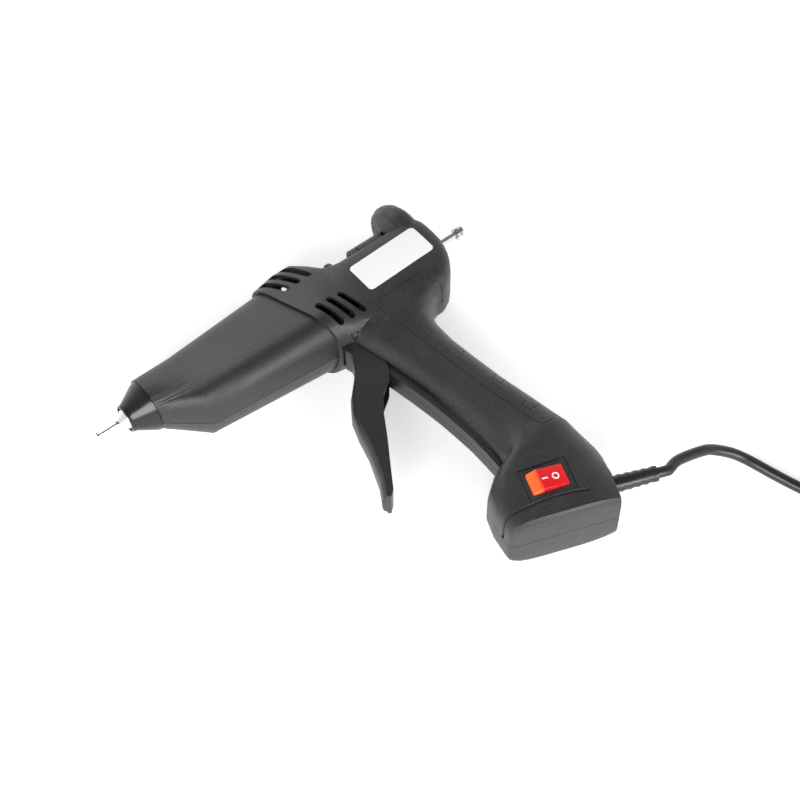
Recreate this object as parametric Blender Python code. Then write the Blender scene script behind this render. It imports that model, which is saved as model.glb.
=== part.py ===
"""A hot glue gun that lies on its right side, as an assembly of separate pieces.

Every piece is modelled in the gun's own frame. +X points to the gun's rear, +Y to its top and
+Z to its left side, which lies upwards. The nozzle's axis is the X axis, and the two moulded
halves meet at Z = 0. The empty named gun then stands the whole on the table at Z = 0.
"""
import math

import bmesh
import bpy
from mathutils import Matrix, Vector

# Fits that every piece shares
GAP = 0.0003
OVERRUN = 0.012
WALL = 0.0024
ROUND_STEPS = 24
SMALL_STEPS = 14

# Body of the housing, from the collar that holds the barrel to the rear wall
COLLAR_X = 0.0980
COLLAR_LEAN_SHARE = -0.20
COLLAR_SWEEP = 0.0034
COLLAR_STEP = 0.0022
COLLAR_OVERLAP = 0.0040
BODY_LENGTH = 0.0890
BODY_TOP = 0.0245
BODY_DROP = 0.0405
BODY_HALF = 0.0235
REAR_CREST_Y = -0.0150
REAR_LEAN_UP = 0.0032
REAR_LEAN_DOWN = 0.0120
REAR_ROUND = 0.0060

# Lobe at the rear that closes over the glue stick
LOBE_RADIUS = 0.0190
LOBE_Y = 0.0058
LOBE_LENGTH = 0.0184
LOBE_STEP = 0.0006

# Way of the glue stick
STICK_Y = 0.0055
STICK_BORE = 0.0066
STICK_MOUTH = 0.0080
CHANNEL_HALF = 0.0086
CHANNEL_START_X = 0.1320
CHANNEL_FLOOR_Y = -0.0030
HOOD_BORE_X = 0.1100

# Grip and base, with heights measured along Y from the top of the grip
GRIP_TOP_Y = -0.0300
GRIP_LENGTH = 0.1700
GRIP_FRONT_X = 0.1130
GRIP_LEAN = 0.0220
GRIP_DEPTH = 0.0380
GRIP_HALF = 0.0180
BASE_HALF = 0.0205
BASE_TOE_X = 0.1066
END_FACE_POINT = (0.1078, -0.1746)
END_FACE_ANGLE = math.radians(-19.7)
REAR_FACE_POINT = (0.1710, -0.1630)
REAR_FACE_ANGLE = math.radians(-21.2)
BASE_EDGE = 0.0036

# Rib down the front of the grip, and the slots that take the trigger's cheeks
RIB_STEP = 0.0025
RIB_HALF = 0.0064
RIB_TOP_Y = -0.0560
RIB_BOTTOM_Y = -0.1385
SLOT_WIDTH = 0.0024
SLOT_DEPTH = 0.0170
SLOT_END_Y = -0.0880
GROOVE_DEPTH = 0.0016

# Barrel covers round the heater
BARREL_RIM_X = 0.0135
BARREL_RIM_RADIUS = 0.0140
BARREL_RIM_Y = 0.0008
BARREL_CHIN_X = 0.0345
BARREL_WALL = 0.0020
BARREL_MOUTH = 0.0092

# Vent slots, lower set on each flank and upper set over the crest
VENT_WIDTH = 0.0038
VENT_PITCH = 0.0070
VENT_COUNT = 3
LOWER_VENT_X = 0.1108
LOWER_VENT_Y = -0.0232
LOWER_VENT_LENGTH = 0.0180
LOWER_VENT_LEAN = math.radians(16.0)
UPPER_VENT_X = 0.1015
UPPER_VENT_Y = 0.0130
UPPER_VENT_LENGTH = 0.0190
UPPER_VENT_LEAN = math.radians(24.0)

# Nozzle, its fine tube and the rubber boot
NOZZLE_RADIUS = 0.0062
NOZZLE_TIP = 0.0042
NOZZLE_TIP_RADIUS = 0.0016
NOZZLE_BORE = 0.0009
THREAD_RADIUS = 0.0046
THREAD_END_X = 0.0250
TUBE_REACH = 0.0125
TUBE_RADIUS = 0.0011
TUBE_BORE = 0.0005
TUBE_FLANGE = 0.0025
TUBE_FLANGE_THICK = 0.0008
BOOT_RADIUS = 0.0074
BOOT_WALL = 0.0012

# Heater block in the barrel
HEATER_START_X = 0.0170
HEATER_END_X = 0.0970
HEATER_NOSE = 0.0085
HEATER_RADIUS = 0.0098
HEATER_SOCKET = 0.0060
FOOT_START_X = 0.0370
FOOT_END_X = 0.0890
FOOT_DROP = 0.0228
FOOT_HALF = 0.0060
ELEMENT_RADIUS = 0.0036
ELEMENT_Y = -0.0178
ELEMENT_TAIL = 0.0040
FRONT_INSULATOR_X = 0.0205
REAR_INSULATOR_X = 0.0895
INSULATOR_THICK = 0.0030
FUSE_RADIUS = 0.0019
FUSE_LENGTH = 0.0120
FUSE_X = 0.0560

# Inlet sleeve between the heater and the feed
SLEEVE_RADIUS = 0.0080
SLEEVE_BORE = 0.0065
SLEEVE_END_X = 0.1355
SLEEVE_LIP = 0.0084
SLEEVE_LIP_LENGTH = 0.0020

# Trigger, its pin and its arms
TRIGGER_PIVOT = (0.1170, -0.0350)
TRIGGER_TRAVEL = math.radians(22.0)
TRIGGER_REACH = 0.0430
TRIGGER_FALL = 0.0845
TRIGGER_HALF = 0.0086
TRIGGER_BULGE = 0.0030
TRIGGER_CHEEK = 0.0016
TRIGGER_WEB = 0.0026
TRIGGER_BOSS = 0.0068
ARM_LENGTH = 0.0245
ARM_HALF_WIDTH = 0.0034
PIVOT_PIN_RADIUS = 0.0025
PIVOT_PIN_HALF = 0.0140
PIN_BOSS_RADIUS = 0.0043
LINK_PIN_RADIUS = 0.0018
SPRING_RADIUS = 0.0040
SPRING_WIRE = 0.0006
SPRING_TURNS = 4
SPRING_HALF = 0.0046
SPRING_LEG = 0.0075

# Feed carriage, its gripper plate and the stroke rod
CARRIAGE_X = 0.1526
CARRIAGE_LENGTH = 0.0150
CARRIAGE_TOP_Y = 0.0138
CARRIAGE_BOTTOM_Y = -0.0155
CARRIAGE_BORE = 0.0068
BAR_HALF_WIDTH = 0.0032
BAR_HALF_HEIGHT = 0.0042
BAR_LEAD = 0.0060
GRIPPER_THICK = 0.0036
GRIPPER_BORE = 0.0062
GRIPPER_BOTTOM_Y = -0.0038
GRIPPER_TILT = math.radians(7.0)
GRIPPER_PIN_RADIUS = 0.0009
ROD_RADIUS = 0.0019
ROD_END_X = 0.2063
ROD_INSET = 0.0080
BUSH_RADIUS = 0.0042
BUSH_LIP = 0.0010
NUT_RADIUS = 0.0036
NUT_LENGTH = 0.0024
NUT_SPACE = 0.0012
CAP_RADIUS = 0.0030
STROKE_ROOM = 0.0145

# Switch in the left side of the base
SWITCH_CENTRE = (0.1370, -0.1636)
SWITCH_ANGLE = math.radians(-17.6)
SWITCH_LENGTH = 0.0240
SWITCH_WIDTH = 0.0175
SWITCH_RIM = 0.0014
SWITCH_BODY_LENGTH = 0.0216
SWITCH_BODY_WIDTH = 0.0146
SWITCH_BODY_DEPTH = 0.0130
RECESS_DEPTH = 0.0022
ROCKER_LENGTH = 0.0184
ROCKER_WIDTH = 0.0116
ROCKER_DEPTH = 0.0045
ROCKER_RIDGE = 0.0043
ROCKER_RISE = 0.0030
ROCKER_TOE = 0.0004
ROCKER_HEEL = 0.0009
TERMINAL_PITCH = 0.0050
TERMINAL_COUNT = 3

# Strain relief and the cord's way out of the base
RELIEF_POINT = (0.1660, -0.1762)
RELIEF_FLANGE = 0.0092
RELIEF_FLANGE_THICK = 0.0020
RELIEF_NECK = 0.0058
RELIEF_RADIUS = 0.0047
RELIEF_TIP_RADIUS = 0.0041
RELIEF_LENGTH = 0.0235
RELIEF_RING = 0.0005
RELIEF_RINGS = 5
CORD_RADIUS = 0.0029
TAIL_LENGTH = 0.0150
CLAMP_LENGTH = 0.0180
CLAMP_WIDTH = 0.0055
CLAMP_THICK = 0.0026

# Screws, all driven in from the right side
SCREW_RADIUS = 0.0013
SCREW_HEAD = 0.0026
SCREW_HEAD_THICK = 0.0018
SCREW_DEPTH = 0.0080
SCREW_REACH = 0.0095
BOSS_RADIUS = 0.0042
WELL_RADIUS = 0.0030
SCREW_PLACES = {
    "front_screw": (0.1400, -0.0262),
    "rear_screw": (0.1752, -0.0262),
    "lobe_screw": (0.1765, 0.0168),
    "grip_screw": (0.1460, -0.0740),
    "lower_grip_screw": (0.1540, -0.1240),
    "toe_screw": (0.1152, -0.1600),
    "barrel_screw": (0.0305, -0.0175),
}
CLAMP_SCREW_RADIUS = 0.0011

# Outlines as shares of the sizes that they follow, from the crest down to the underside.
# Each row holds the height's share and the half width's share.
PEAR_SHARES = (
    (1.000, 0.00), (0.950, 0.34), (0.827, 0.57), (0.652, 0.715), (0.445, 0.89),
    (0.295, 0.99), (0.195, 0.99), (0.110, 0.86), (0.040, 0.59), (0.000, 0.00),
)
SLAB_SHARES = (
    (1.000, 0.00), (1.000, 0.42), (0.985, 0.76), (0.900, 0.94), (0.650, 1.00),
    (0.400, 1.00), (0.200, 0.97), (0.070, 0.83), (0.008, 0.52), (0.000, 0.00),
)
# Body stations: place along the body, crest, underside, half width and how slab-like
BODY_STATION_SHARES = (
    (0.000, 0.900, 0.915, 1.000, 0.00),
    (0.120, 1.000, 0.945, 1.010, 0.05),
    (0.215, 0.985, 0.970, 0.960, 0.20),
    (0.285, 0.740, 0.985, 0.900, 0.32),
    (0.332, 0.420, 0.990, 0.865, 0.60),
    (0.370, 0.215, 1.000, 0.840, 0.95),
    (0.420, 0.165, 1.000, 0.828, 1.00),
    (0.600, 0.165, 1.000, 0.815, 1.00),
    (0.820, 0.165, 1.000, 0.800, 1.00),
    (0.930, 0.165, 1.000, 0.785, 1.00),
)
# Grip stations: drop, front, back, half width and squareness.
# Front and back are shares of the grip's depth, behind the grip's leaning front line.
GRIP_STATION_SHARES = (
    (-0.065, 0.04, 1.70, 1.035, 3.4),
    (0.000, 0.02, 1.70, 1.035, 3.2),
    (0.045, 0.02, 1.62, 1.030, 3.0),
    (0.070, 0.03, 1.32, 1.01, 2.9),
    (0.100, 0.05, 1.12, 0.98, 2.8),
    (0.150, 0.09, 1.055, 0.95, 2.7),
    (0.220, 0.125, 1.030, 0.94, 2.6),
    (0.300, 0.160, 1.040, 0.94, 2.6),
    (0.410, 0.180, 1.060, 0.97, 2.6),
    (0.530, 0.165, 1.110, 1.02, 2.7),
    (0.605, 0.120, 1.130, 1.06, 2.9),
)
# Base stations: drop, toe and heel, where heel is a share of the grip's depth
BASE_STATION_SHARES = (
    (0.648, 0.62, 1.150),
    (0.672, 0.33, 1.150),
    (0.705, 0.13, 1.145),
    (0.760, 0.04, 1.130),
    (0.850, -0.02, 1.060),
    (1.000, -0.10, 0.900),
)
BASE_SQUARENESS = 5.0
HEEL_SQUARENESS = 2.8
# Rounded edge of the base: rise and draw as shares of the edge's size
EDGE_ROUND_SHARES = ((0.55, 0.12), (0.87, 0.45), (1.0, 1.0))
BARREL_CHIN_SHARES = (0.735, 0.790, 0.830)

# Trigger's front and rear edges, from the pivot down, as shares of its reach and its fall
TRIGGER_FRONT_SHARES = (
    (-0.19, -0.05), (-0.165, -0.09), (-0.19, -0.15), (-0.29, -0.22), (-0.46, -0.32),
    (-0.585, -0.42), (-0.66, -0.54), (-0.725, -0.68), (-0.86, -0.87), (-0.975, -0.975),
)
TRIGGER_TIP_SHARES = ((-0.99, -0.995), (-0.955, -1.005))
TRIGGER_REAR_SHARES = (
    (-0.88, -0.975), (-0.73, -0.85), (-0.52, -0.68), (-0.35, -0.53), (-0.20, -0.43),
    (-0.03, -0.37), (0.06, -0.31), (0.12, -0.20),
)
TRIGGER_POCKET_SHARE = 0.80
TRIGGER_ROUND_SHARES = (-1.0, -0.8, -0.4, 0.4, 0.8, 1.0)

# Supply cord, laid on the table beside the gun, and its coil just outside the photograph's view
CORD_ROUTE = (
    (0.2045, -0.1856, -0.0022), (0.2187, -0.1873, -0.0058), (0.2257, -0.1892, -0.0090),
    (0.2338, -0.1948, -0.0132), (0.2395, -0.2018, -0.0168), (0.2458, -0.2150, -0.0198),
    (0.2515, -0.2290, -0.0206), (0.2586, -0.2446, -0.0206),
)
CORD_PIECES = ("cord_tail", "supply_cord", "cord_coil", "cord_tie", "plug", "left_plug_pin",
               "right_plug_pin")
COIL_TURNS = 8
COIL_LAYERS = 4
COIL_RADIUS = 0.0340
COIL_PITCH = 0.0064
COIL_RISE = 0.0063
COIL_CENTRE = (0.3068, -0.2505, -0.0199)
COIL_START = math.radians(206.8)
COIL_POINTS = 24
TIE_WIDTH = 0.0060
TIE_THICK = 0.0006
TIE_ANGLE = math.radians(62.0)
COIL_LEAD = 0.0560

# Flat two-pin plug that lies beyond the coil
PLUG_LENGTH = 0.0330
PLUG_WIDTH = 0.0350
PLUG_HEIGHT = 0.0137
PLUG_NECK = 0.0048
PLUG_NECK_LENGTH = 0.0100
PLUG_PIN_RADIUS = 0.0020
PLUG_PIN_LENGTH = 0.0190
PLUG_PIN_SPACE = 0.0190
PLUG_PIN_SEAT = 0.0050


def clear_scene():
    """Remove what the scene holds before the gun is built."""
    for thing in list(bpy.data.objects):
        bpy.data.objects.remove(thing, do_unlink=True)


def material(name, colour, roughness, metallic=0.0):
    """One Principled material for one kind of surface."""
    made = bpy.data.materials.new(name)
    made.use_nodes = True
    shader = made.node_tree.nodes["Principled BSDF"]
    shader.inputs["Base Color"].default_value = (*colour, 1.0)
    shader.inputs["Roughness"].default_value = roughness
    shader.inputs["Metallic"].default_value = metallic
    return made


def mesh_object(name, bm):
    """Turn a bmesh into an object in the gun's frame, with its faces pointing out."""
    bmesh.ops.recalc_face_normals(bm, faces=bm.faces[:])
    mesh = bpy.data.meshes.new(name)
    bm.to_mesh(mesh)
    bm.free()
    made = bpy.data.objects.new(name, mesh)
    bpy.context.collection.objects.link(made)
    return made


def tool(made):
    """Mark an object as a cutter or a guide, which is no piece of the gun."""
    made.hide_render = True
    made.display_type = "WIRE"
    return made


def loft(name, rings):
    """Skin a list of closed rings, each with as many points, and cap both ends."""
    bm = bmesh.new()
    loops = [[bm.verts.new(point) for point in ring] for ring in rings]
    count = len(loops[0])
    for first, second in zip(loops, loops[1:]):
        for i in range(count):
            j = (i + 1) % count
            bm.faces.new((first[i], first[j], second[j], second[i]))
    bm.faces.new(loops[0])
    bm.faces.new(loops[-1])
    return mesh_object(name, bm)


def prism(name, outline, low, high):
    """Extrude a flat outline of (x, y) points along Z, from low to high."""
    return loft(name, [[Vector((x, y, z)) for x, y in outline] for z in (low, high)])


def turned(name, profile, axis_y=0.0, steps=ROUND_STEPS):
    """Spin a closed profile of (x, radius) points about a line along X."""
    bm = bmesh.new()
    points = [bm.verts.new((x, axis_y + radius, 0.0)) for x, radius in profile]
    edges = [bm.edges.new((points[i - 1], points[i])) for i in range(len(points))]
    bmesh.ops.spin(bm, geom=points + edges, cent=(0.0, axis_y, 0.0), axis=(1.0, 0.0, 0.0),
                   angle=math.tau, steps=steps)
    bmesh.ops.remove_doubles(bm, verts=bm.verts[:], dist=GAP / 100)
    lone = [edge for edge in bm.edges if not edge.link_faces]
    bmesh.ops.delete(bm, geom=lone, context="EDGES")
    return mesh_object(name, bm)


def pillar(name, place, radius, low, high, steps=SMALL_STEPS):
    """A round post along Z between two heights."""
    ring = [(place[0] + radius * math.cos(math.tau * i / steps),
             place[1] + radius * math.sin(math.tau * i / steps)) for i in range(steps)]
    return prism(name, ring, low, high)


def block(name, low, high):
    """A box between two corners."""
    outline = ((low[0], low[1]), (high[0], low[1]), (high[0], high[1]), (low[0], high[1]))
    return prism(name, outline, low[2], high[2])


def place(made, angle, point, height=0.0):
    """Turn a piece that was modelled about the origin in the plane, and carry it to its point."""
    made.data.transform(Matrix.Translation((*point, height)) @ Matrix.Rotation(angle, 4, "Z"))
    return made


def combine(made, operation, others):
    """Join, cut or keep a solid with others, one after another, and keep the outcome as mesh."""
    for other in others:
        tool(other)
        step = made.modifiers.new(other.name, "BOOLEAN")
        step.operation = operation
        step.object = other
    bpy.context.view_layer.update()
    view = bpy.context.evaluated_depsgraph_get()
    settled = bpy.data.meshes.new_from_object(made.evaluated_get(view))
    made.modifiers.clear()
    made.data = settled
    for other in others:
        bpy.data.objects.remove(other, do_unlink=True)
    return made


def finish(made, look, origin=(0.0, 0.0, 0.0), sharp=math.radians(30.0)):
    """Give a piece its material, its shading and its origin, and hang it on the gun."""
    made.data.materials.clear()
    made.data.materials.append(look)
    made.data.shade_smooth()
    made.data.set_sharp_from_angle(angle=sharp)
    made.data.transform(Matrix.Translation(-Vector(origin)))
    made.location = origin
    return made


def smooth_path(points, steps):
    """Points on a curve through all the given points, steps to each stretch."""
    rows = [Vector(point) for point in points]
    rows = [rows[0] * 2 - rows[1]] + rows + [rows[-1] * 2 - rows[-2]]
    path = []
    for a, b, c, d in zip(rows, rows[1:], rows[2:], rows[3:]):
        for i in range(steps):
            t = i / steps
            path.append(0.5 * (2 * b + (c - a) * t + (2 * a - 5 * b + 4 * c - d) * t ** 2
                               + (3 * b - a - 3 * c + d) * t ** 3))
    path.append(rows[-2])
    return path


def tube(name, points, radius, resolution):
    """A closed round tube through the points."""
    curve = bpy.data.curves.new(name, "CURVE")
    curve.dimensions = "3D"
    curve.bevel_depth = radius
    curve.bevel_resolution = resolution
    curve.use_fill_caps = True
    line = curve.splines.new("POLY")
    line.points.add(len(points) - 1)
    for knot, point in zip(line.points, points):
        knot.co = (*point, 1.0)
    made = bpy.data.objects.new(name, curve)
    bpy.context.collection.objects.link(made)
    return made


def rear_lean(y):
    """How far the rear wall leans forward of its crest at a height."""
    if y > REAR_CREST_Y:
        share = (y - REAR_CREST_Y) / (BODY_TOP - REAR_CREST_Y)
        return REAR_LEAN_UP * share ** 2
    share = (REAR_CREST_Y - y) / (BODY_DROP + REAR_CREST_Y)
    return REAR_LEAN_DOWN * share ** 2


def closed_section(half_rows, inset):
    """A ring of (y, z) points from half an outline, smoothed, mirrored and drawn in."""
    rows = [Vector((y, z, 0.0)) for y, z in half_rows]
    mirrored = [Vector((rows[1].x, -rows[1].y, 0.0))] + rows
    mirrored.append(Vector((rows[-2].x, -rows[-2].y, 0.0)))
    half = []
    for a, b, c, d in zip(mirrored, mirrored[1:], mirrored[2:], mirrored[3:]):
        half.append(b)
        half.append((9 * (b + c) - a - d) / 16)
    half.append(rows[-1])
    ring = half + [Vector((p.x, -p.y, 0.0)) for p in reversed(half[1:-1])]
    middle = (rows[0].x + rows[-1].x) / 2
    tall = 1 - 2 * inset / (rows[0].x - rows[-1].x)
    wide = 1 - inset / max(p.y for p in rows)
    return [(middle + (p.x - middle) * tall, p.y * wide) for p in ring]


def body_section(top, bottom, half, slab, inset):
    """A ring of (y, z) points round the body, between the pear and the slab outline."""
    rows = []
    for pear, flat in zip(PEAR_SHARES, SLAB_SHARES):
        height = pear[0] + (flat[0] - pear[0]) * slab
        width = pear[1] + (flat[1] - pear[1]) * slab
        rows.append((bottom + (top - bottom) * height, half * width))
    return closed_section(rows, inset)


def collar_section(inset):
    """The body's outline at the collar."""
    row = BODY_STATION_SHARES[0]
    return body_section(BODY_TOP * row[1], -BODY_DROP * row[2], BODY_HALF * row[3], row[4], inset)


def collar_shift(y, sweep=1.0):
    """How far the collar's edge lies behind its place on the axis at a height."""
    return COLLAR_LEAN_SHARE * y + COLLAR_SWEEP * sweep * (min(0.0, y) / BODY_DROP) ** 2


def collar_ring(x, inset, sweep=1.0):
    """The collar's outline as a leaning ring at a place on the nozzle's axis."""
    return [(x + collar_shift(y, sweep), y, z) for y, z in collar_section(inset)]


def body_form(name, inset):
    """The body, its leaning collar edge and its rounded, leaning rear wall."""
    rings = []
    if inset:
        rings.append(collar_ring(COLLAR_X - OVERRUN, COLLAR_STEP - GAP, 0.0))
        rings.append(collar_ring(COLLAR_X + COLLAR_OVERLAP + GAP, COLLAR_STEP - GAP, 0.0))
    for row in BODY_STATION_SHARES:
        x = COLLAR_X + BODY_LENGTH * row[0]
        section = body_section(BODY_TOP * row[1], -BODY_DROP * row[2], BODY_HALF * row[3],
                               row[4], inset)
        collar = max(0.0, 1 - row[0] / BODY_STATION_SHARES[2][0])
        rear = max(0.0, (row[0] - 0.5) / 0.5)
        ring = [(x + collar_shift(y) * collar - rear_lean(y) * rear, y, z) for y, z in section]
        if not inset or row[0] > 0.1:
            rings.append(ring)
    last = BODY_STATION_SHARES[-1]
    for turn in (0.35, 0.7, 1.0):
        angle = turn * math.pi / 2
        x = COLLAR_X + BODY_LENGTH - inset - REAR_ROUND * (1 - math.sin(angle))
        draw = inset + REAR_ROUND * (1 - math.cos(angle)) * 0.8
        section = body_section(BODY_TOP * last[1], -BODY_DROP * last[2], BODY_HALF * last[3],
                               last[4], draw)
        rings.append([(x - rear_lean(y), y, z) for y, z in section])
    return loft(name, rings)


def lobe_form(name, inset=0.0):
    """The arch at the rear, domed in front, that rises over the stick's way in."""
    rings = []
    front = COLLAR_X + BODY_LENGTH - LOBE_LENGTH
    for share in (0.0, 0.06, 0.2, 0.42, 0.62, 0.8, 0.93, 1.0):
        if share < 0.42:
            size = math.sqrt(max(0.0, 1 - ((0.42 - share) / 0.44) ** 2))
        else:
            size = math.sqrt(max(0.0, 1 - (max(0.0, share - 0.62) / 0.42) ** 2))
        radius = LOBE_RADIUS * (0.30 + 0.70 * size) - inset
        ring = []
        for i in range(ROUND_STEPS):
            angle = math.tau * i / ROUND_STEPS
            y = LOBE_Y + radius * math.cos(angle)
            ring.append((front + (LOBE_LENGTH - LOBE_STEP) * share - rear_lean(y) * share, y,
                         radius * math.sin(angle)))
        rings.append(ring)
    return loft(name, rings)


def grip_front(share):
    """The leaning line that the grip's front follows."""
    return GRIP_FRONT_X + GRIP_LEAN * share


def squircle(middle, reach, half, y, toe_square, heel_square, count=32):
    """A flat ring at one height, between an ellipse and a rectangle at each end."""
    ring = []
    for i in range(count):
        angle = math.tau * (i + 0.5) / count
        c, s = math.cos(angle), math.sin(angle)
        power = 2 / (heel_square if c > 0 else toe_square)
        ring.append((middle + reach * math.copysign(abs(c) ** power, c), y,
                     half * math.copysign(abs(s) ** power, s)))
    return ring


def trim(made, point, angle, inset, edge):
    """Cut a form with a slanted plane, close the cut and round its edge."""
    bm = bmesh.new()
    bm.from_mesh(made.data)
    normal = Vector((math.sin(angle), -math.cos(angle), 0.0))
    spot = Vector((*point, 0.0)) - normal * (inset + edge)
    cut = bmesh.ops.bisect_plane(bm, geom=bm.verts[:] + bm.edges[:] + bm.faces[:],
                                 plane_co=spot, plane_no=normal, clear_outer=True)
    rim = [part for part in cut["geom_cut"] if isinstance(part, bmesh.types.BMEdge)]
    cap = bmesh.ops.contextual_create(bm, geom=rim)["faces"][0]
    if edge:
        middle = cap.calc_center_median()
        flat = [(vert.co - middle).copy() for vert in cap.verts]
        half = max(abs(step.z) for step in flat)
        loop = list(cap.verts)
        bm.faces.remove(cap)
        for rise, draw in EDGE_ROUND_SHARES:
            higher = [bm.verts.new(middle + step * (1 - edge * draw / half)
                                   + normal * edge * rise) for step in flat]
            for i in range(len(loop)):
                bm.faces.new((loop[i - 1], loop[i], higher[i], higher[i - 1]))
            loop = higher
        bm.faces.new(loop)
    bmesh.ops.recalc_face_normals(bm, faces=bm.faces[:])
    bm.to_mesh(made.data)
    bm.free()
    return made


def grip_form(name, inset):
    """The grip and the base in one flowing form, with the two flat faces of the base."""
    rings = []
    for drop, front, back, half, squareness in GRIP_STATION_SHARES:
        start = grip_front(drop) + GRIP_DEPTH * front + inset
        end = grip_front(drop) + GRIP_DEPTH * back - inset
        rings.append(squircle((start + end) / 2, (end - start) / 2, GRIP_HALF * half - inset,
                              GRIP_TOP_Y - GRIP_LENGTH * drop, squareness, squareness))
    for drop, toe, heel in BASE_STATION_SHARES:
        start = BASE_TOE_X + GRIP_DEPTH * toe + inset
        end = grip_front(drop) + GRIP_DEPTH * heel - inset
        rings.append(squircle((start + end) / 2, (end - start) / 2, BASE_HALF - inset,
                              GRIP_TOP_Y - GRIP_LENGTH * drop, BASE_SQUARENESS,
                              HEEL_SQUARENESS))
    made = loft(name, rings)
    edge = 0.0 if inset else BASE_EDGE
    trim(made, END_FACE_POINT, END_FACE_ANGLE, inset, edge)
    return trim(made, REAR_FACE_POINT, REAR_FACE_ANGLE + math.pi / 2, inset, 0.0)


def rib_front(y):
    """The rib's front line, a step ahead of the grip's own front."""
    drop = (GRIP_TOP_Y - y) / GRIP_LENGTH
    rows = [row for row in GRIP_STATION_SHARES]
    for low, high in zip(rows, rows[1:]):
        if low[0] <= drop <= high[0] or high is rows[-1]:
            t = (drop - low[0]) / (high[0] - low[0])
            front = low[1] + (high[1] - low[1]) * t
            return grip_front(drop) + GRIP_DEPTH * front - RIB_STEP


def rib_form(name):
    """The narrow rib down the front of the grip."""
    steps = 8
    heights = [RIB_TOP_Y + (RIB_BOTTOM_Y - RIB_TOP_Y) * i / steps for i in range(steps + 1)]
    front = [(rib_front(y), y) for y in heights]
    back = [(rib_front(y) + RIB_STEP + WALL, y) for y in reversed(heights)]
    return prism(name, front + back, -RIB_HALF, RIB_HALF)


def slot_tool(name, side):
    """The deep slot beside the rib for one trigger cheek, shallow again further down."""
    steps = 8
    heights = [RIB_TOP_Y + OVERRUN + (RIB_BOTTOM_Y - RIB_TOP_Y - OVERRUN) * i / steps
               for i in range(steps + 1)]
    outline = [(rib_front(y) - OVERRUN, y) for y in heights]
    outline.append((rib_front(RIB_BOTTOM_Y) + RIB_STEP + GROOVE_DEPTH, RIB_BOTTOM_Y))
    outline.append((rib_front(SLOT_END_Y) + RIB_STEP + GROOVE_DEPTH, SLOT_END_Y))
    outline.append((rib_front(RIB_TOP_Y) + SLOT_DEPTH, RIB_TOP_Y - SLOT_DEPTH))
    outline.append((rib_front(RIB_TOP_Y) + SLOT_DEPTH, heights[0]))
    low, high = sorted((side * RIB_HALF, side * (RIB_HALF + SLOT_WIDTH)))
    return prism(name, outline, low, high)


def vent_tool(name, x, y, length, lean):
    """A leaning slot with round ends, right through both flanks."""
    outline = []
    for end in (-1, 1):
        for i in range(5):
            angle = end * math.pi / 2 + math.pi * (i / 4 - 0.5)
            outline.append((VENT_WIDTH / 2 * math.cos(angle),
                            end * (length - VENT_WIDTH) / 2 + VENT_WIDTH / 2 * math.sin(angle)))
    cutter = prism(name, outline, -BODY_HALF - OVERRUN, BODY_HALF + OVERRUN)
    return place(cutter, lean, (x, y))


def screw_boss(name, spot, radius, side, start, shell):
    """A moulded post from near the seam out into the middle of the wall."""
    low, high = sorted((side * max(start, GAP / 2), side * (BODY_HALF + OVERRUN)))
    return combine(pillar(name, spot, radius, low, high), "INTERSECT", [shell])


def housing_form():
    """Both halves of the housing as one solid form, before it is split and hollowed."""
    form = body_form("form", 0.0)
    return combine(form, "UNION", [lobe_form("lobe"), grip_form("grip", 0.0), rib_form("rib")])


def housing_posts():
    """Bosses that stand inside the housing: for screws, the trigger's pin and the terminals."""
    posts = []
    for name, spot in SCREW_PLACES.items():
        if name != "barrel_screw":
            posts.append((name, spot, BOSS_RADIUS, 0.0))
    posts.append(("pin_boss", TRIGGER_PIVOT, PIN_BOSS_RADIUS, TRIGGER_HALF + GAP))
    return posts


def wall_middle(spot):
    """The surface in the middle of the housing's wall, for the region that holds a place."""
    if spot[1] < -BODY_DROP:
        return grip_form("shell", WALL / 2)
    if spot[1] > STICK_Y:
        return lobe_form("shell", WALL / 2)
    return body_form("shell", WALL / 2)


def housing_half(name, side, form, look):
    """One moulded half of the housing, with its own posts, holes and screw wells."""
    made = form.copy()
    made.data = form.data.copy()
    made.name = name
    bpy.context.collection.objects.link(made)
    reach = BODY_LENGTH + GRIP_LENGTH
    low, high = sorted((side * GAP / 2, side * (BODY_HALF + OVERRUN)))
    keep = block("keep", (COLLAR_X - reach, -reach, low), (COLLAR_X + reach, reach, high))
    combine(made, "INTERSECT", [keep])
    combine(made, "DIFFERENCE", [body_form("hollow", WALL), grip_form("grip_hollow", WALL)])
    posts = []
    for post, spot, radius, start in housing_posts():
        posts.append(screw_boss(post, spot, radius, side, start, wall_middle(spot)))
    combine(made, "UNION", posts)
    cuts = common_cuts()
    cuts += side_cuts(side)
    combine(made, "DIFFERENCE", cuts)
    return finish(made, look)


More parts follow.
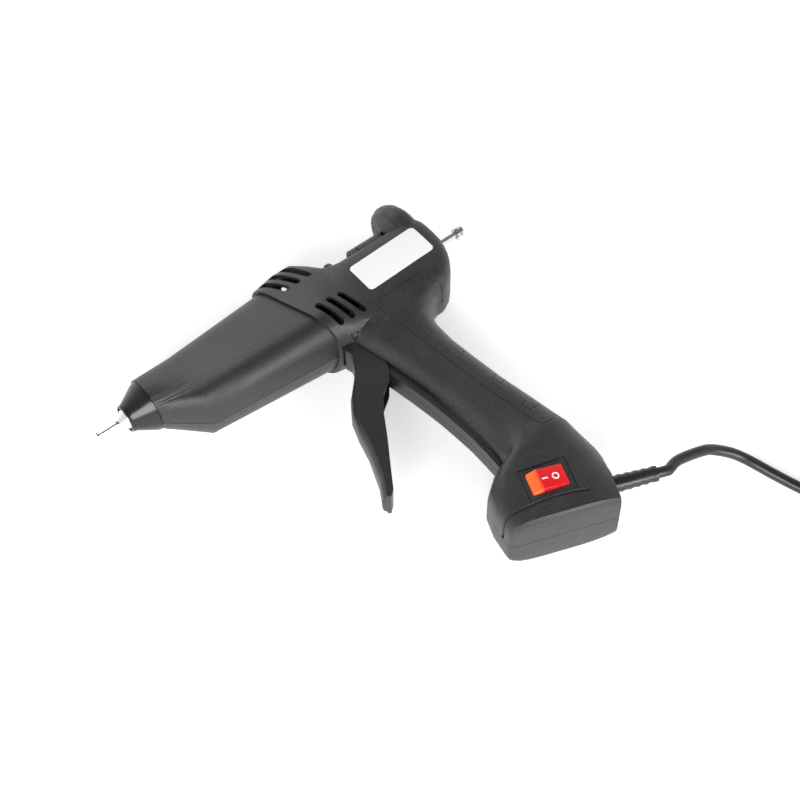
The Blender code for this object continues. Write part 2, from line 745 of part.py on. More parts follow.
def common_cuts():
    """Openings that run through both halves: channel, stick's way, trigger, vents, rod."""
    far = COLLAR_X + BODY_LENGTH + OVERRUN
    lobe_front = COLLAR_X + BODY_LENGTH - LOBE_LENGTH
    cuts = [
        block("channel", (CHANNEL_START_X, CHANNEL_FLOOR_Y, -CHANNEL_HALF),
              (lobe_front + LOBE_LENGTH * 0.1, BODY_TOP + OVERRUN, CHANNEL_HALF)),
        turned("hood_bore", ((HOOD_BORE_X, 0.0), (HOOD_BORE_X, SLEEVE_LIP + GAP),
                             (CHANNEL_START_X + OVERRUN, SLEEVE_LIP + GAP),
                             (CHANNEL_START_X + OVERRUN, 0.0)), STICK_Y),
        turned("stick_bore", ((lobe_front - OVERRUN, 0.0), (lobe_front - OVERRUN, STICK_MOUTH),
                              (lobe_front + LOBE_LENGTH * 0.25, STICK_MOUTH),
                              (lobe_front + LOBE_LENGTH * 0.35, STICK_BORE),
                              (far, STICK_BORE), (far, 0.0)), STICK_Y),
        turned("rod_bore", ((far - BODY_LENGTH * 0.3, 0.0),
                            (far - BODY_LENGTH * 0.3, BUSH_RADIUS + GAP),
                            (far, BUSH_RADIUS + GAP), (far, 0.0)), rod_y()),
        slot_tool("left_slot", 1), slot_tool("right_slot", -1),
    ]
    pivot_x, pivot_y = TRIGGER_PIVOT
    room = TRIGGER_HALF + GAP
    front = pivot_x - TRIGGER_BOSS - GAP * 4
    cuts.append(block("trigger_room", (front, RIB_TOP_Y, -room),
                      (rib_front(RIB_TOP_Y) + SLOT_DEPTH, pivot_y + TRIGGER_BOSS, room)))
    for i in range(VENT_COUNT):
        shift = VENT_PITCH * i
        cuts.append(vent_tool("lower_vent", LOWER_VENT_X + shift, LOWER_VENT_Y,
                              LOWER_VENT_LENGTH, LOWER_VENT_LEAN))
        cuts.append(vent_tool("upper_vent", UPPER_VENT_X + shift, UPPER_VENT_Y,
                              UPPER_VENT_LENGTH, UPPER_VENT_LEAN))
    return cuts


def side_cuts(side):
    """Holes of one half: wells and pilot holes for screws, the pin's seat, the switch."""
    cuts = []
    outside = BASE_HALF + OVERRUN
    for name, spot in SCREW_PLACES.items():
        if name == "barrel_screw":
            continue
        if side > 0:
            cuts.append(pillar(name + "_pilot", spot, SCREW_RADIUS + GAP, -GAP,
                               SCREW_REACH + GAP))
        else:
            cuts.append(pillar(name + "_hole", spot, SCREW_RADIUS + GAP,
                               -SCREW_DEPTH - GAP, GAP))
            cuts.append(pillar(name + "_well", spot, WELL_RADIUS, -outside, -SCREW_DEPTH))
    low, high = sorted((0.0, side * (PIVOT_PIN_HALF + GAP)))
    cuts.append(pillar("pin_seat", TRIGGER_PIVOT, PIVOT_PIN_RADIUS + GAP, low, high))
    relief = place(turned("relief_seat", ((-OVERRUN, 0.0), (-OVERRUN, RELIEF_NECK + GAP),
                                          (OVERRUN, RELIEF_NECK + GAP), (OVERRUN, 0.0))),
                   REAR_FACE_ANGLE, RELIEF_POINT)
    cuts.append(relief)
    if side > 0:
        cuts.append(switch_box("recess", SWITCH_LENGTH + GAP * 2, SWITCH_WIDTH + GAP * 2,
                               BASE_HALF - RECESS_DEPTH, outside))
        cuts.append(switch_box("switch_hole", SWITCH_BODY_LENGTH + GAP * 2,
                               SWITCH_BODY_WIDTH + GAP * 2, 0.0, outside))
    return cuts


def switch_box(name, length, width, low, high):
    """A box that lies in line with the switch."""
    made = block(name, (-length / 2, -width / 2, low), (length / 2, width / 2, high))
    return place(made, SWITCH_ANGLE, SWITCH_CENTRE)


def rod_y():
    """Height of the stroke rod: level with the link pin at mid travel."""
    return TRIGGER_PIVOT[1] + ARM_LENGTH * (1 + math.cos(TRIGGER_TRAVEL / 2)) / 2


def link_place():
    """The link pin's place at rest, where the arm leans back by half its travel."""
    lean = TRIGGER_TRAVEL / 2
    return (TRIGGER_PIVOT[0] + ARM_LENGTH * math.sin(lean),
            TRIGGER_PIVOT[1] + ARM_LENGTH * math.cos(lean))


def stroke():
    """How far the carriage travels."""
    return 2 * ARM_LENGTH * math.sin(TRIGGER_TRAVEL / 2)


def barrel_rings(inset):
    """Rings of the barrel from its round rim, over the slanted chin, to inside the collar."""
    last = BODY_STATION_SHARES[0]
    top, bottom, half = (BODY_TOP * last[1] - COLLAR_STEP, -BODY_DROP * last[2] + COLLAR_STEP,
                         BODY_HALF * last[3] - COLLAR_STEP)
    chin = BARREL_CHIN_SHARES
    section = body_section(top * chin[0] + COLLAR_STEP / 2, bottom * chin[1] - COLLAR_STEP,
                           half * chin[2], 0.0, inset)
    radius = BARREL_RIM_RADIUS - inset
    rim = []
    for y, z in section:
        reach = math.hypot(y - BARREL_RIM_Y, z)
        rim.append((BARREL_RIM_X + inset, BARREL_RIM_Y + radius * (y - BARREL_RIM_Y) / reach,
                    radius * z / reach))
    rings = [rim, [(BARREL_CHIN_X, y, z) for y, z in section]]
    end = collar_ring(COLLAR_X, COLLAR_STEP + inset, 0.0)
    chin_ring = rings[-1]
    middle = []
    for a, b in zip(chin_ring, end):
        bulge = 0.52
        middle.append(tuple(p + (q - p) * bulge for p, q in zip(a, b)))
    rings.append(middle)
    rings.append(end)
    rings.append(collar_ring(COLLAR_X + COLLAR_OVERLAP, COLLAR_STEP + inset, 0.0))
    if inset:
        rings.append(collar_ring(COLLAR_X + COLLAR_OVERLAP + OVERRUN, COLLAR_STEP + inset, 0.0))
    return rings


def barrel_half(name, side, look):
    """One moulded half of the barrel cover."""
    made = loft(name, barrel_rings(0.0))
    mouth = turned("mouth", ((-OVERRUN, 0.0), (-OVERRUN, BARREL_MOUTH),
                             (BARREL_CHIN_X, BARREL_MOUTH), (BARREL_CHIN_X, 0.0)))
    combine(made, "DIFFERENCE", [loft("barrel_hollow", barrel_rings(BARREL_WALL)), mouth])
    low, high = sorted((side * GAP / 2, side * (BODY_HALF + OVERRUN)))
    keep = block("keep", (-OVERRUN, -BODY_DROP - OVERRUN, low),
                 (COLLAR_X + BODY_LENGTH, BODY_TOP + OVERRUN, high))
    combine(made, "INTERSECT", [keep])
    spot = SCREW_PLACES["barrel_screw"]
    shell = loft("shell", barrel_rings(BARREL_WALL / 2))
    combine(made, "UNION", [screw_boss("boss", spot, BOSS_RADIUS, side, 0.0, shell)])
    if side > 0:
        cuts = [pillar("pilot", spot, SCREW_RADIUS + GAP, -GAP, SCREW_REACH + GAP)]
    else:
        cuts = [pillar("hole", spot, SCREW_RADIUS + GAP, -SCREW_DEPTH - GAP, GAP),
                pillar("well", spot, WELL_RADIUS, -BODY_HALF - OVERRUN, -SCREW_DEPTH)]
    combine(made, "DIFFERENCE", cuts)
    return finish(made, look)


def nozzle(look):
    """The steel nozzle: a cone that fills the boot, and a threaded shank behind it."""
    profile = (
        (-NOZZLE_TIP, NOZZLE_BORE + GAP), (-NOZZLE_TIP, NOZZLE_TIP_RADIUS),
        (0.0, NOZZLE_RADIUS * 0.86), (NOZZLE_TIP / 2, NOZZLE_RADIUS),
        (HEATER_START_X - GAP, NOZZLE_RADIUS), (HEATER_START_X - GAP, THREAD_RADIUS),
        (THREAD_END_X, THREAD_RADIUS), (THREAD_END_X, THREAD_RADIUS / 2),
        (NOZZLE_TIP, THREAD_RADIUS / 2), (0.0, NOZZLE_BORE + GAP),
    )
    return finish(turned("nozzle", profile), look)


def nozzle_tube(look):
    """The fine tube in the nozzle's tip, with its end flange and a small collar."""
    tip = -NOZZLE_TIP - TUBE_REACH
    collar = -NOZZLE_TIP - GAP
    profile = (
        (tip, TUBE_BORE), (tip, TUBE_FLANGE), (tip + TUBE_FLANGE_THICK, TUBE_FLANGE),
        (tip + TUBE_FLANGE_THICK, TUBE_RADIUS), (collar - TUBE_FLANGE_THICK, TUBE_RADIUS),
        (collar - TUBE_FLANGE_THICK, TUBE_RADIUS * 2), (collar, TUBE_RADIUS * 2),
        (collar, NOZZLE_BORE), (-GAP, NOZZLE_BORE), (-GAP, TUBE_BORE),
    )
    return finish(turned("nozzle_tube", profile, steps=SMALL_STEPS), look)


def nozzle_boot(look):
    """The rubber boot that closes the barrel's mouth round the nozzle."""
    inner = NOZZLE_RADIUS + GAP
    face = BARREL_RIM_X - GAP
    profile = (
        (0.0, inner), (0.0, BOOT_RADIUS), (BOOT_WALL, BOOT_RADIUS * 1.03),
        (BOOT_WALL * 2, BOOT_RADIUS * 1.09), (face - BOOT_WALL * 2, BARREL_RIM_RADIUS * 0.93),
        (face, BARREL_RIM_RADIUS), (face, BARREL_MOUTH - GAP),
        (BARREL_RIM_X + BARREL_WALL, BARREL_MOUTH - GAP), (BARREL_RIM_X + BARREL_WALL, inner),
    )
    return finish(turned("nozzle_boot", profile), look)


def chamber_rings(grow):
    """Rings of the heater's outer form, drawn out or in by a margin."""
    rings = []
    for share, reach in ((0.0, 0.0), (0.09, 0.0), (0.13, 0.55), (0.22, 1.0), (0.79, 1.0), (1.0, 1.0)):
        x = HEATER_START_X + (HEATER_END_X - HEATER_START_X) * share
        axis = STICK_Y * min(1.0, max(0.0, (share - 0.09) / 0.7))
        radius = HEATER_NOSE + (HEATER_RADIUS - HEATER_NOSE) * reach + grow
        rings.append([(x, axis + radius * math.cos(math.tau * i / ROUND_STEPS),
                       radius * math.sin(math.tau * i / ROUND_STEPS))
                      for i in range(ROUND_STEPS)])
    return rings


def heater_block(look):
    """The cast melt chamber, with the foot below it that holds the heating element."""
    made = loft("heater_block", chamber_rings(0.0))
    foot = block("foot", (FOOT_START_X, -FOOT_DROP, -FOOT_HALF), (FOOT_END_X, 0.0, FOOT_HALF))
    combine(made, "UNION", [foot])
    thread = turned("thread", ((HEATER_START_X - OVERRUN, 0.0),
                               (HEATER_START_X - OVERRUN, THREAD_RADIUS + GAP),
                               (THREAD_END_X + GAP, THREAD_RADIUS + GAP),
                               (THREAD_END_X + GAP, 0.0)))
    rings = []
    run = HEATER_END_X - THREAD_END_X
    for share, radius in ((0.0, THREAD_RADIUS / 2), (0.5, SLEEVE_BORE), (1.2, SLEEVE_BORE)):
        axis = STICK_Y * min(1.0, share / 0.5)
        rings.append([(THREAD_END_X + run * share,
                       axis + radius * math.cos(math.tau * i / ROUND_STEPS),
                       radius * math.sin(math.tau * i / ROUND_STEPS))
                      for i in range(ROUND_STEPS)])
    socket_x = HEATER_END_X - HEATER_SOCKET
    socket = turned("socket", ((socket_x, 0.0), (socket_x, SLEEVE_RADIUS + GAP),
                               (HEATER_END_X + OVERRUN, SLEEVE_RADIUS + GAP),
                               (HEATER_END_X + OVERRUN, 0.0)), STICK_Y)
    pocket = turned("pocket", ((FOOT_START_X + ELEMENT_TAIL, 0.0),
                               (FOOT_START_X + ELEMENT_TAIL, ELEMENT_RADIUS + GAP),
                               (FOOT_END_X + OVERRUN, ELEMENT_RADIUS + GAP),
                               (FOOT_END_X + OVERRUN, 0.0)), ELEMENT_Y)
    combine(made, "DIFFERENCE", [thread, loft("melt_bore", rings), socket, pocket])
    return finish(made, look)


def heating_element(look):
    """The cartridge in the heater's foot, with its tail showing behind."""
    start = FOOT_START_X + ELEMENT_TAIL + GAP
    end = FOOT_END_X - GAP * 2
    profile = ((start, 0.0), (start, ELEMENT_RADIUS), (end, ELEMENT_RADIUS), (end, 0.0))
    return finish(turned("heating_element", profile, ELEMENT_Y, SMALL_STEPS), look)


def insulator(name, x, look):
    """A plate across the barrel that carries the heater clear of the covers."""
    rings = barrel_rings(BARREL_WALL + GAP * 2)
    plates = []
    for at in (x, x + INSULATOR_THICK):
        for near, far in zip(rings, rings[1:]):
            if near[0][0] <= at <= far[0][0]:
                ring = []
                for a, b in zip(near, far):
                    t = (at - a[0]) / (b[0] - a[0])
                    ring.append((at, a[1] + (b[1] - a[1]) * t, a[2] + (b[2] - a[2]) * t))
                plates.append(ring)
                break
    made = loft(name, plates)
    above = block("above", (x - OVERRUN, STICK_Y - HEATER_RADIUS * 0.3, -BODY_HALF),
                  (x + OVERRUN, BODY_TOP + OVERRUN, BODY_HALF))
    combine(made, "DIFFERENCE", [loft("chamber", chamber_rings(GAP)), above])
    return finish(made, look)


def thermal_fuse(look):
    """The fuse that lies along the underside of the heater's foot."""
    y = -FOOT_DROP - FUSE_RADIUS - GAP
    profile = ((FUSE_X, 0.0), (FUSE_X, FUSE_RADIUS), (FUSE_X + FUSE_LENGTH, FUSE_RADIUS),
               (FUSE_X + FUSE_LENGTH, 0.0))
    return finish(turned("thermal_fuse", profile, y, SMALL_STEPS), look)


def inlet_sleeve(look):
    """The silicone sleeve that leads the stick into the heater."""
    start = HEATER_END_X - HEATER_SOCKET + GAP
    lip = SLEEVE_END_X - SLEEVE_LIP_LENGTH
    profile = ((start, SLEEVE_BORE), (start, SLEEVE_RADIUS), (lip, SLEEVE_RADIUS - GAP),
               (lip, SLEEVE_LIP), (SLEEVE_END_X, SLEEVE_LIP), (SLEEVE_END_X, SLEEVE_BORE))
    return finish(turned("inlet_sleeve", profile, STICK_Y), look)


def trigger_points(shares):
    """Places on the trigger's outline, from shares of its reach and fall about its pivot."""
    return [(TRIGGER_PIVOT[0] + TRIGGER_REACH * x, TRIGGER_PIVOT[1] + TRIGGER_FALL * y)
            for x, y in shares]


def arc(centre, radius, start, end, steps):
    """Points on an arc of a circle in the plane."""
    return [(centre[0] + radius * math.cos(start + (end - start) * i / steps),
             centre[1] + radius * math.sin(start + (end - start) * i / steps))
            for i in range(steps + 1)]


def trigger(look):
    """The trigger: a channel with a closed front, two cheeks and two arms above the pivot."""
    link = link_place()
    lean = TRIGGER_TRAVEL / 2
    front = trigger_points(TRIGGER_FRONT_SHARES)
    outline = front + trigger_points(TRIGGER_TIP_SHARES) + trigger_points(TRIGGER_REAR_SHARES)
    outline += arc(TRIGGER_PIVOT, TRIGGER_BOSS, -math.pi / 8, math.pi / 4, 3)
    outline += arc(link, ARM_HALF_WIDTH, -lean, math.pi - lean, 6)
    outline += arc(TRIGGER_PIVOT, TRIGGER_BOSS, math.pi * 0.78, math.pi * 1.05, 3)
    rings = []
    for share in TRIGGER_ROUND_SHARES:
        ring = []
        for x, y in outline:
            down = (TRIGGER_PIVOT[1] - y) / TRIGGER_FALL
            bulge = TRIGGER_BULGE * math.sqrt(1 - share ** 2) * min(1.0, max(0.0, down * 4 - 0.3))
            rear = (x, y) not in front
            ring.append((x if rear else x - bulge, y, TRIGGER_HALF * share))
        rings.append(ring)
    made = loft("trigger", rings)
    inner = [(x + TRIGGER_WEB, y) for x, y in front if y > TRIGGER_PIVOT[1]
             - TRIGGER_FALL * TRIGGER_POCKET_SHARE]
    beyond = TRIGGER_PIVOT[0] + TRIGGER_REACH
    top = link[1] + OVERRUN
    low_x = inner[-1][0] + TRIGGER_WEB
    pocket = [(TRIGGER_PIVOT[0] - TRIGGER_REACH, top)]
    pocket.append((TRIGGER_PIVOT[0] - TRIGGER_REACH, TRIGGER_PIVOT[1] + TRIGGER_WEB))
    pocket.append((inner[0][0], TRIGGER_PIVOT[1] + TRIGGER_WEB))
    pocket += inner
    pocket.append((low_x + OVERRUN, inner[-1][1]))
    pocket.append((beyond, inner[-1][1]))
    pocket.append((beyond, top))
    room = TRIGGER_HALF - TRIGGER_CHEEK
    cuts = [prism("pocket", pocket, -room, room)]
    cuts.append(pillar("pivot_hole", TRIGGER_PIVOT, PIVOT_PIN_RADIUS + GAP,
                       -TRIGGER_HALF - OVERRUN, TRIGGER_HALF + OVERRUN))
    cuts.append(pillar("link_hole", link, LINK_PIN_RADIUS + GAP,
                       -TRIGGER_HALF - OVERRUN, TRIGGER_HALF + OVERRUN))
    combine(made, "DIFFERENCE", cuts)
    return finish(made, look, (*TRIGGER_PIVOT, 0.0))


def trigger_pin(look):
    """The steel pin that the trigger turns on, seated in both halves."""
    made = pillar("trigger_pin", TRIGGER_PIVOT, PIVOT_PIN_RADIUS, -PIVOT_PIN_HALF,
                  PIVOT_PIN_HALF, ROUND_STEPS)
    return finish(made, look)


def link_pin(look):
    """The pin across the trigger's arms that drives the carriage's bar."""
    made = pillar("link_pin", link_place(), LINK_PIN_RADIUS, -TRIGGER_HALF, TRIGGER_HALF,
                  ROUND_STEPS)
    return finish(made, look, (*TRIGGER_PIVOT, 0.0))


def trigger_spring(look):
    """The torsion spring round the trigger's pin, with its two legs."""
    points = []
    pivot = Vector((*TRIGGER_PIVOT, 0.0))
    per_turn = 10
    count = SPRING_TURNS * per_turn
    for i in range(count + 1):
        angle = math.tau * i / per_turn
        height = -SPRING_HALF + 2 * SPRING_HALF * i / count
        points.append(pivot + Vector((SPRING_RADIUS * math.cos(angle),
                                      SPRING_RADIUS * math.sin(angle), height)))
    leg = Vector((0.0, SPRING_LEG, 0.0))
    points = [points[0] - leg] + points + [points[-1] + leg]
    return hang(tube("trigger_spring", points, SPRING_WIRE, 1), look)


def hang(made, look):
    """Give a tube its material."""
    made.data.materials.append(look)
    return made


def feed_carriage(look):
    """The carriage that pushes the stick: a saddle round it and a drag bar to the trigger."""
    back = CARRIAGE_X + CARRIAGE_LENGTH
    half = CHANNEL_HALF - GAP
    top = CARRIAGE_TOP_Y
    level = rod_y()
    radius = half
    saddle = [(top - radius * (1 - math.sin(a)), radius * math.cos(a))
              for a in [math.pi * i / 10 for i in range(11)]]
    section = [(CARRIAGE_BOTTOM_Y, half)] + saddle + [(CARRIAGE_BOTTOM_Y, -half)]
    made = loft("feed_carriage", [[(x, y, z) for y, z in section] for x in (CARRIAGE_X, back)])
    link = link_place()
    bar = block("bar", (link[0] - BAR_LEAD, level - BAR_HALF_HEIGHT, -BAR_HALF_WIDTH),
                (CARRIAGE_X + OVERRUN / 3, level + BAR_HALF_HEIGHT, BAR_HALF_WIDTH))
    ear_x = CARRIAGE_X - GRIPPER_THICK / 2 - GAP
    ear_y = GRIPPER_BOTTOM_Y
    ears = []
    for side in (-1, 1):
        low, high = sorted((side * (CHANNEL_HALF * 0.62), side * half))
        ears.append(prism("ear", ((CARRIAGE_X + GAP, ear_y + GRIPPER_THICK),
                                  (ear_x - GRIPPER_THICK, ear_y + GRIPPER_THICK * 0.4),
                                  (ear_x - GRIPPER_THICK, ear_y - GRIPPER_THICK),
                                  (CARRIAGE_X + GAP, CARRIAGE_BOTTOM_Y)), low, high))
    combine(made, "UNION", [bar] + ears)
    rise = ARM_LENGTH * (1 - math.cos(TRIGGER_TRAVEL / 2))
    width = LINK_PIN_RADIUS + GAP
    height = LINK_PIN_RADIUS + rise / 2 + GAP
    cuts = [
        turned("saddle_bore", ((CARRIAGE_X - OVERRUN, 0.0), (CARRIAGE_X - OVERRUN, CARRIAGE_BORE),
                               (back + OVERRUN, CARRIAGE_BORE), (back + OVERRUN, 0.0)), STICK_Y),
        block("link_slot", (link[0] - width, level - height, -BAR_HALF_WIDTH - OVERRUN),
              (link[0] + width, level + height, BAR_HALF_WIDTH + OVERRUN)),
        turned("rod_socket", ((back - ROD_INSET - GAP, 0.0),
                              (back - ROD_INSET - GAP, ROD_RADIUS + GAP),
                              (back + OVERRUN, ROD_RADIUS + GAP), (back + OVERRUN, 0.0)), level,
               SMALL_STEPS),
        pillar("gripper_pin_hole", gripper_place(), GRIPPER_PIN_RADIUS + GAP,
               -half - OVERRUN, half + OVERRUN, SMALL_STEPS),
    ]
    combine(made, "DIFFERENCE", cuts)
    return finish(made, look)


def gripper_place():
    """The gripper plate's hinge line, low in front of the carriage."""
    return (CARRIAGE_X - GRIPPER_THICK / 2 - GAP * 2, GRIPPER_BOTTOM_Y)


def stick_gripper(look):
    """The steel plate that cants and bites into the stick as the carriage goes forward."""
    x, y = gripper_place()
    half = CHANNEL_HALF - GAP
    low = x - GRIPPER_THICK / 2
    high = x + GRIPPER_THICK / 2
    waist = CHANNEL_HALF * 0.62 - GAP
    step = y + GRIPPER_THICK * 1.15
    top = CARRIAGE_TOP_Y
    outline = [(y - GRIPPER_THICK * 0.6, waist), (step, waist), (step, half)]
    outline += [(top - half * (1 - math.sin(a)), half * math.cos(a))
                for a in [math.pi * i / 10 for i in range(11)]]
    outline += [(step, -half), (step, -waist), (y - GRIPPER_THICK * 0.6, -waist)]
    made = loft("stick_gripper", [[(at, v, w) for v, w in outline] for at in (low, high)])
    cuts = [
        turned("bite", ((low - OVERRUN, 0.0), (low - OVERRUN, GRIPPER_BORE),
                        (high + OVERRUN, GRIPPER_BORE), (high + OVERRUN, 0.0)), STICK_Y),
        pillar("hinge_hole", (x, y), GRIPPER_PIN_RADIUS + GAP, -half - OVERRUN, half + OVERRUN),
    ]
    combine(made, "DIFFERENCE", cuts)
    return finish(made, look, (x, y, 0.0))


def gripper_pin(look):
    """The pin that the gripper plate cants on."""
    half = CHANNEL_HALF - GAP
    return finish(pillar("gripper_pin", gripper_place(), GRIPPER_PIN_RADIUS, -half, half), look)


def stroke_rod(look):
    """The chromed rod from the carriage out through the rear wall."""
    start = CARRIAGE_X + CARRIAGE_LENGTH - ROD_INSET
    end = ROD_END_X - NUT_LENGTH / 2
    profile = ((start, 0.0), (start, ROD_RADIUS), (end - GAP, ROD_RADIUS),
               (end, ROD_RADIUS * 0.8), (end, 0.0))
    return finish(turned("stroke_rod", profile, rod_y(), SMALL_STEPS), look)


def rear_wall_x(y):
    """Where the rear wall's outer face lies at a height."""
    return COLLAR_X + BODY_LENGTH - rear_lean(y)


def stroke_nut(look):
    """The knurled nut on the rod that sets how far the trigger feeds."""
    start = rear_wall_x(rod_y()) + STROKE_ROOM
    bore = ROD_RADIUS + GAP
    edge = NUT_LENGTH / 6
    profile = ((start, bore), (start, NUT_RADIUS - edge), (start + edge, NUT_RADIUS),
               (start + NUT_LENGTH - edge, NUT_RADIUS), (start + NUT_LENGTH, NUT_RADIUS - edge),
               (start + NUT_LENGTH, bore))
    made = turned("stroke_nut", profile, rod_y(), SMALL_STEPS)
    return finish(made, look, (start, rod_y(), 0.0))


def rod_cap(look):
    """The small cap nut locked on the rod's end, so that the stroke nut can't come off."""
    start = rear_wall_x(rod_y()) + STROKE_ROOM + NUT_LENGTH + NUT_SPACE
    end = ROD_END_X + GAP
    bore = ROD_RADIUS + GAP
    seat = ROD_END_X - NUT_LENGTH / 2 + GAP
    profile = ((start, bore), (start, CAP_RADIUS), (end - GAP, CAP_RADIUS),
               (end, CAP_RADIUS * 0.85), (end, 0.0), (seat, 0.0), (seat, bore))
    return finish(turned("rod_cap", profile, rod_y(), SMALL_STEPS), look)


def rod_bush(look):
    """The bush in the rear wall that guides the rod."""
    wall = rear_wall_x(rod_y())
    bore = ROD_RADIUS + GAP
    profile = ((wall - WALL - BUSH_LIP * 2, bore), (wall - WALL - BUSH_LIP * 2, BUSH_RADIUS),
               (wall, BUSH_RADIUS), (wall + BUSH_LIP / 2, BUSH_RADIUS * 0.8),
               (wall + BUSH_LIP / 2, bore))
    return finish(turned("rod_bush", profile, rod_y(), SMALL_STEPS), look)


def switch_top():
    """Height of the switch rim's outer face."""
    return BASE_HALF - RECESS_DEPTH + GAP + SWITCH_RIM


def switch_body(look):
    """The rocker switch's body, with its rim, its well for the rocker and its terminals' stub."""
    top = switch_top()
    made = switch_box("switch_body", SWITCH_LENGTH, SWITCH_WIDTH, top - SWITCH_RIM, top)
    lower = switch_box("lower", SWITCH_BODY_LENGTH, SWITCH_BODY_WIDTH, top - SWITCH_BODY_DEPTH,
                       top - SWITCH_RIM / 2)
    combine(made, "UNION", [lower])
    well = switch_box("well", ROCKER_LENGTH + GAP * 3, ROCKER_WIDTH + GAP * 2,
                      top - ROCKER_DEPTH * 2, top + OVERRUN)
    combine(made, "DIFFERENCE", [well])
    return finish(made, look)


def rocker_pivot():
    """The rocker's pivot, on the switch's middle line just under the rim."""
    return (*SWITCH_CENTRE, switch_top() - ROCKER_DEPTH * 0.55)


def switch_rocker(look):
    """The red rocker, its ridge forward of the middle and its rear end pressed in."""
    half = ROCKER_LENGTH / 2
    top = ROCKER_DEPTH * 0.55
    outline = [(-half, top + ROCKER_TOE), (-ROCKER_RIDGE, top + ROCKER_RISE),
               (half, top + ROCKER_HEEL), (half, -ROCKER_DEPTH * 0.2)]
    outline += [(half * 0.55 * math.cos(a), -ROCKER_DEPTH * (0.2 + 0.8 * math.sin(a)))
                for a in [math.pi * i / 6 for i in range(1, 6)]]
    outline.append((-half, -ROCKER_DEPTH * 0.2))
    rings = [[(x, y, z) for x, z in outline] for y in (-ROCKER_WIDTH / 2, ROCKER_WIDTH / 2)]
    made = loft("switch_rocker", rings)
    x, y, height = rocker_pivot()
    place(made, SWITCH_ANGLE, (x, y), height)
    return finish(made, look, rocker_pivot())


def terminal_block(look):
    """The screw terminals in the grip that join the cord to the heater's leads."""
    half = TERMINAL_PITCH * TERMINAL_COUNT / 2
    x, y = SCREW_PLACES["lower_grip_screw"]
    spot = (x - BOSS_RADIUS - TERMINAL_PITCH, y + BOSS_RADIUS + half)
    made = block("terminal_block", (spot[0] - TERMINAL_PITCH, spot[1] - half, 0.0),
                 (spot[0] + TERMINAL_PITCH, spot[1] + half,
                  GRIP_HALF * GRIP_STATION_SHARES[8][3] - WALL - GAP * 3))
    cuts = []
    for i in range(TERMINAL_COUNT):
        y = spot[1] - half + TERMINAL_PITCH * (i + 0.5)
        cuts.append(pillar("terminal_hole", (spot[0], y), TERMINAL_PITCH * 0.3, -GAP,
                           TERMINAL_PITCH * 0.8, 8))
    combine(made, "DIFFERENCE", cuts)
    return finish(made, look)


def strain_relief(look):
    """The moulded strain relief: a flange outside the rear face and a ringed, tapered sleeve."""
    inner = WALL + GAP * 2
    bore = CORD_RADIUS + GAP
    end = RELIEF_FLANGE_THICK + RELIEF_LENGTH
    profile = [(-inner - RELIEF_FLANGE_THICK, bore), (-inner - RELIEF_FLANGE_THICK, RELIEF_NECK)]
    profile += [(GAP, RELIEF_NECK), (GAP, RELIEF_FLANGE), (RELIEF_FLANGE_THICK, RELIEF_FLANGE)]
    profile.append((RELIEF_FLANGE_THICK, RELIEF_RADIUS))
    run = RELIEF_LENGTH / (RELIEF_RINGS * 2 + 1)
    for i in range(RELIEF_RINGS * 2 + 2):
        t = i / (RELIEF_RINGS * 2 + 1)
        radius = RELIEF_RADIUS + (RELIEF_TIP_RADIUS - RELIEF_RADIUS) * t
        if 0 < i < RELIEF_RINGS * 2 + 1 and i % 2:
            radius -= RELIEF_RING
        profile.append((RELIEF_FLANGE_THICK + GAP + run * i, radius))
    profile.append((end + GAP, bore))
    made = place(turned("strain_relief", profile, steps=18), REAR_FACE_ANGLE, RELIEF_POINT)
    return finish(made, look)


def relief_axis():
    """The direction in which the cord leaves the base."""
    return Vector((math.cos(REAR_FACE_ANGLE), math.sin(REAR_FACE_ANGLE), 0.0))


def cord_tail(look):
    """The cord's end inside the base, through the strain relief's bore."""
    start = -WALL - RELIEF_FLANGE_THICK - TAIL_LENGTH
    end = RELIEF_FLANGE_THICK + RELIEF_LENGTH - CORD_RADIUS
    profile = ((start, 0.0), (start, CORD_RADIUS), (end, CORD_RADIUS), (end, 0.0))
    made = place(turned("cord_tail", profile, steps=SMALL_STEPS), REAR_FACE_ANGLE, RELIEF_POINT)
    return finish(made, look)


def clamp_spot():
    """The middle of the cord clamp, inside the strain relief."""
    back = WALL + RELIEF_FLANGE_THICK + TAIL_LENGTH * 0.55
    return Vector((*RELIEF_POINT, 0.0)) - relief_axis() * back


def cord_clamp(look):
    """The bar that presses the cord down inside the base."""
    low = CORD_RADIUS + GAP
    made = block("cord_clamp", (-CLAMP_WIDTH / 2, -CLAMP_LENGTH / 2, low),
                 (CLAMP_WIDTH / 2, CLAMP_LENGTH / 2, low + CLAMP_THICK))
    spread = CLAMP_LENGTH / 2 - CLAMP_WIDTH / 2
    holes = [pillar("clamp_hole", (0.0, y), CLAMP_SCREW_RADIUS + GAP, -OVERRUN, OVERRUN)
             for y in (-spread, spread)]
    combine(made, "DIFFERENCE", holes)
    spot = clamp_spot()
    return finish(place(made, REAR_FACE_ANGLE, (spot.x, spot.y)), look)


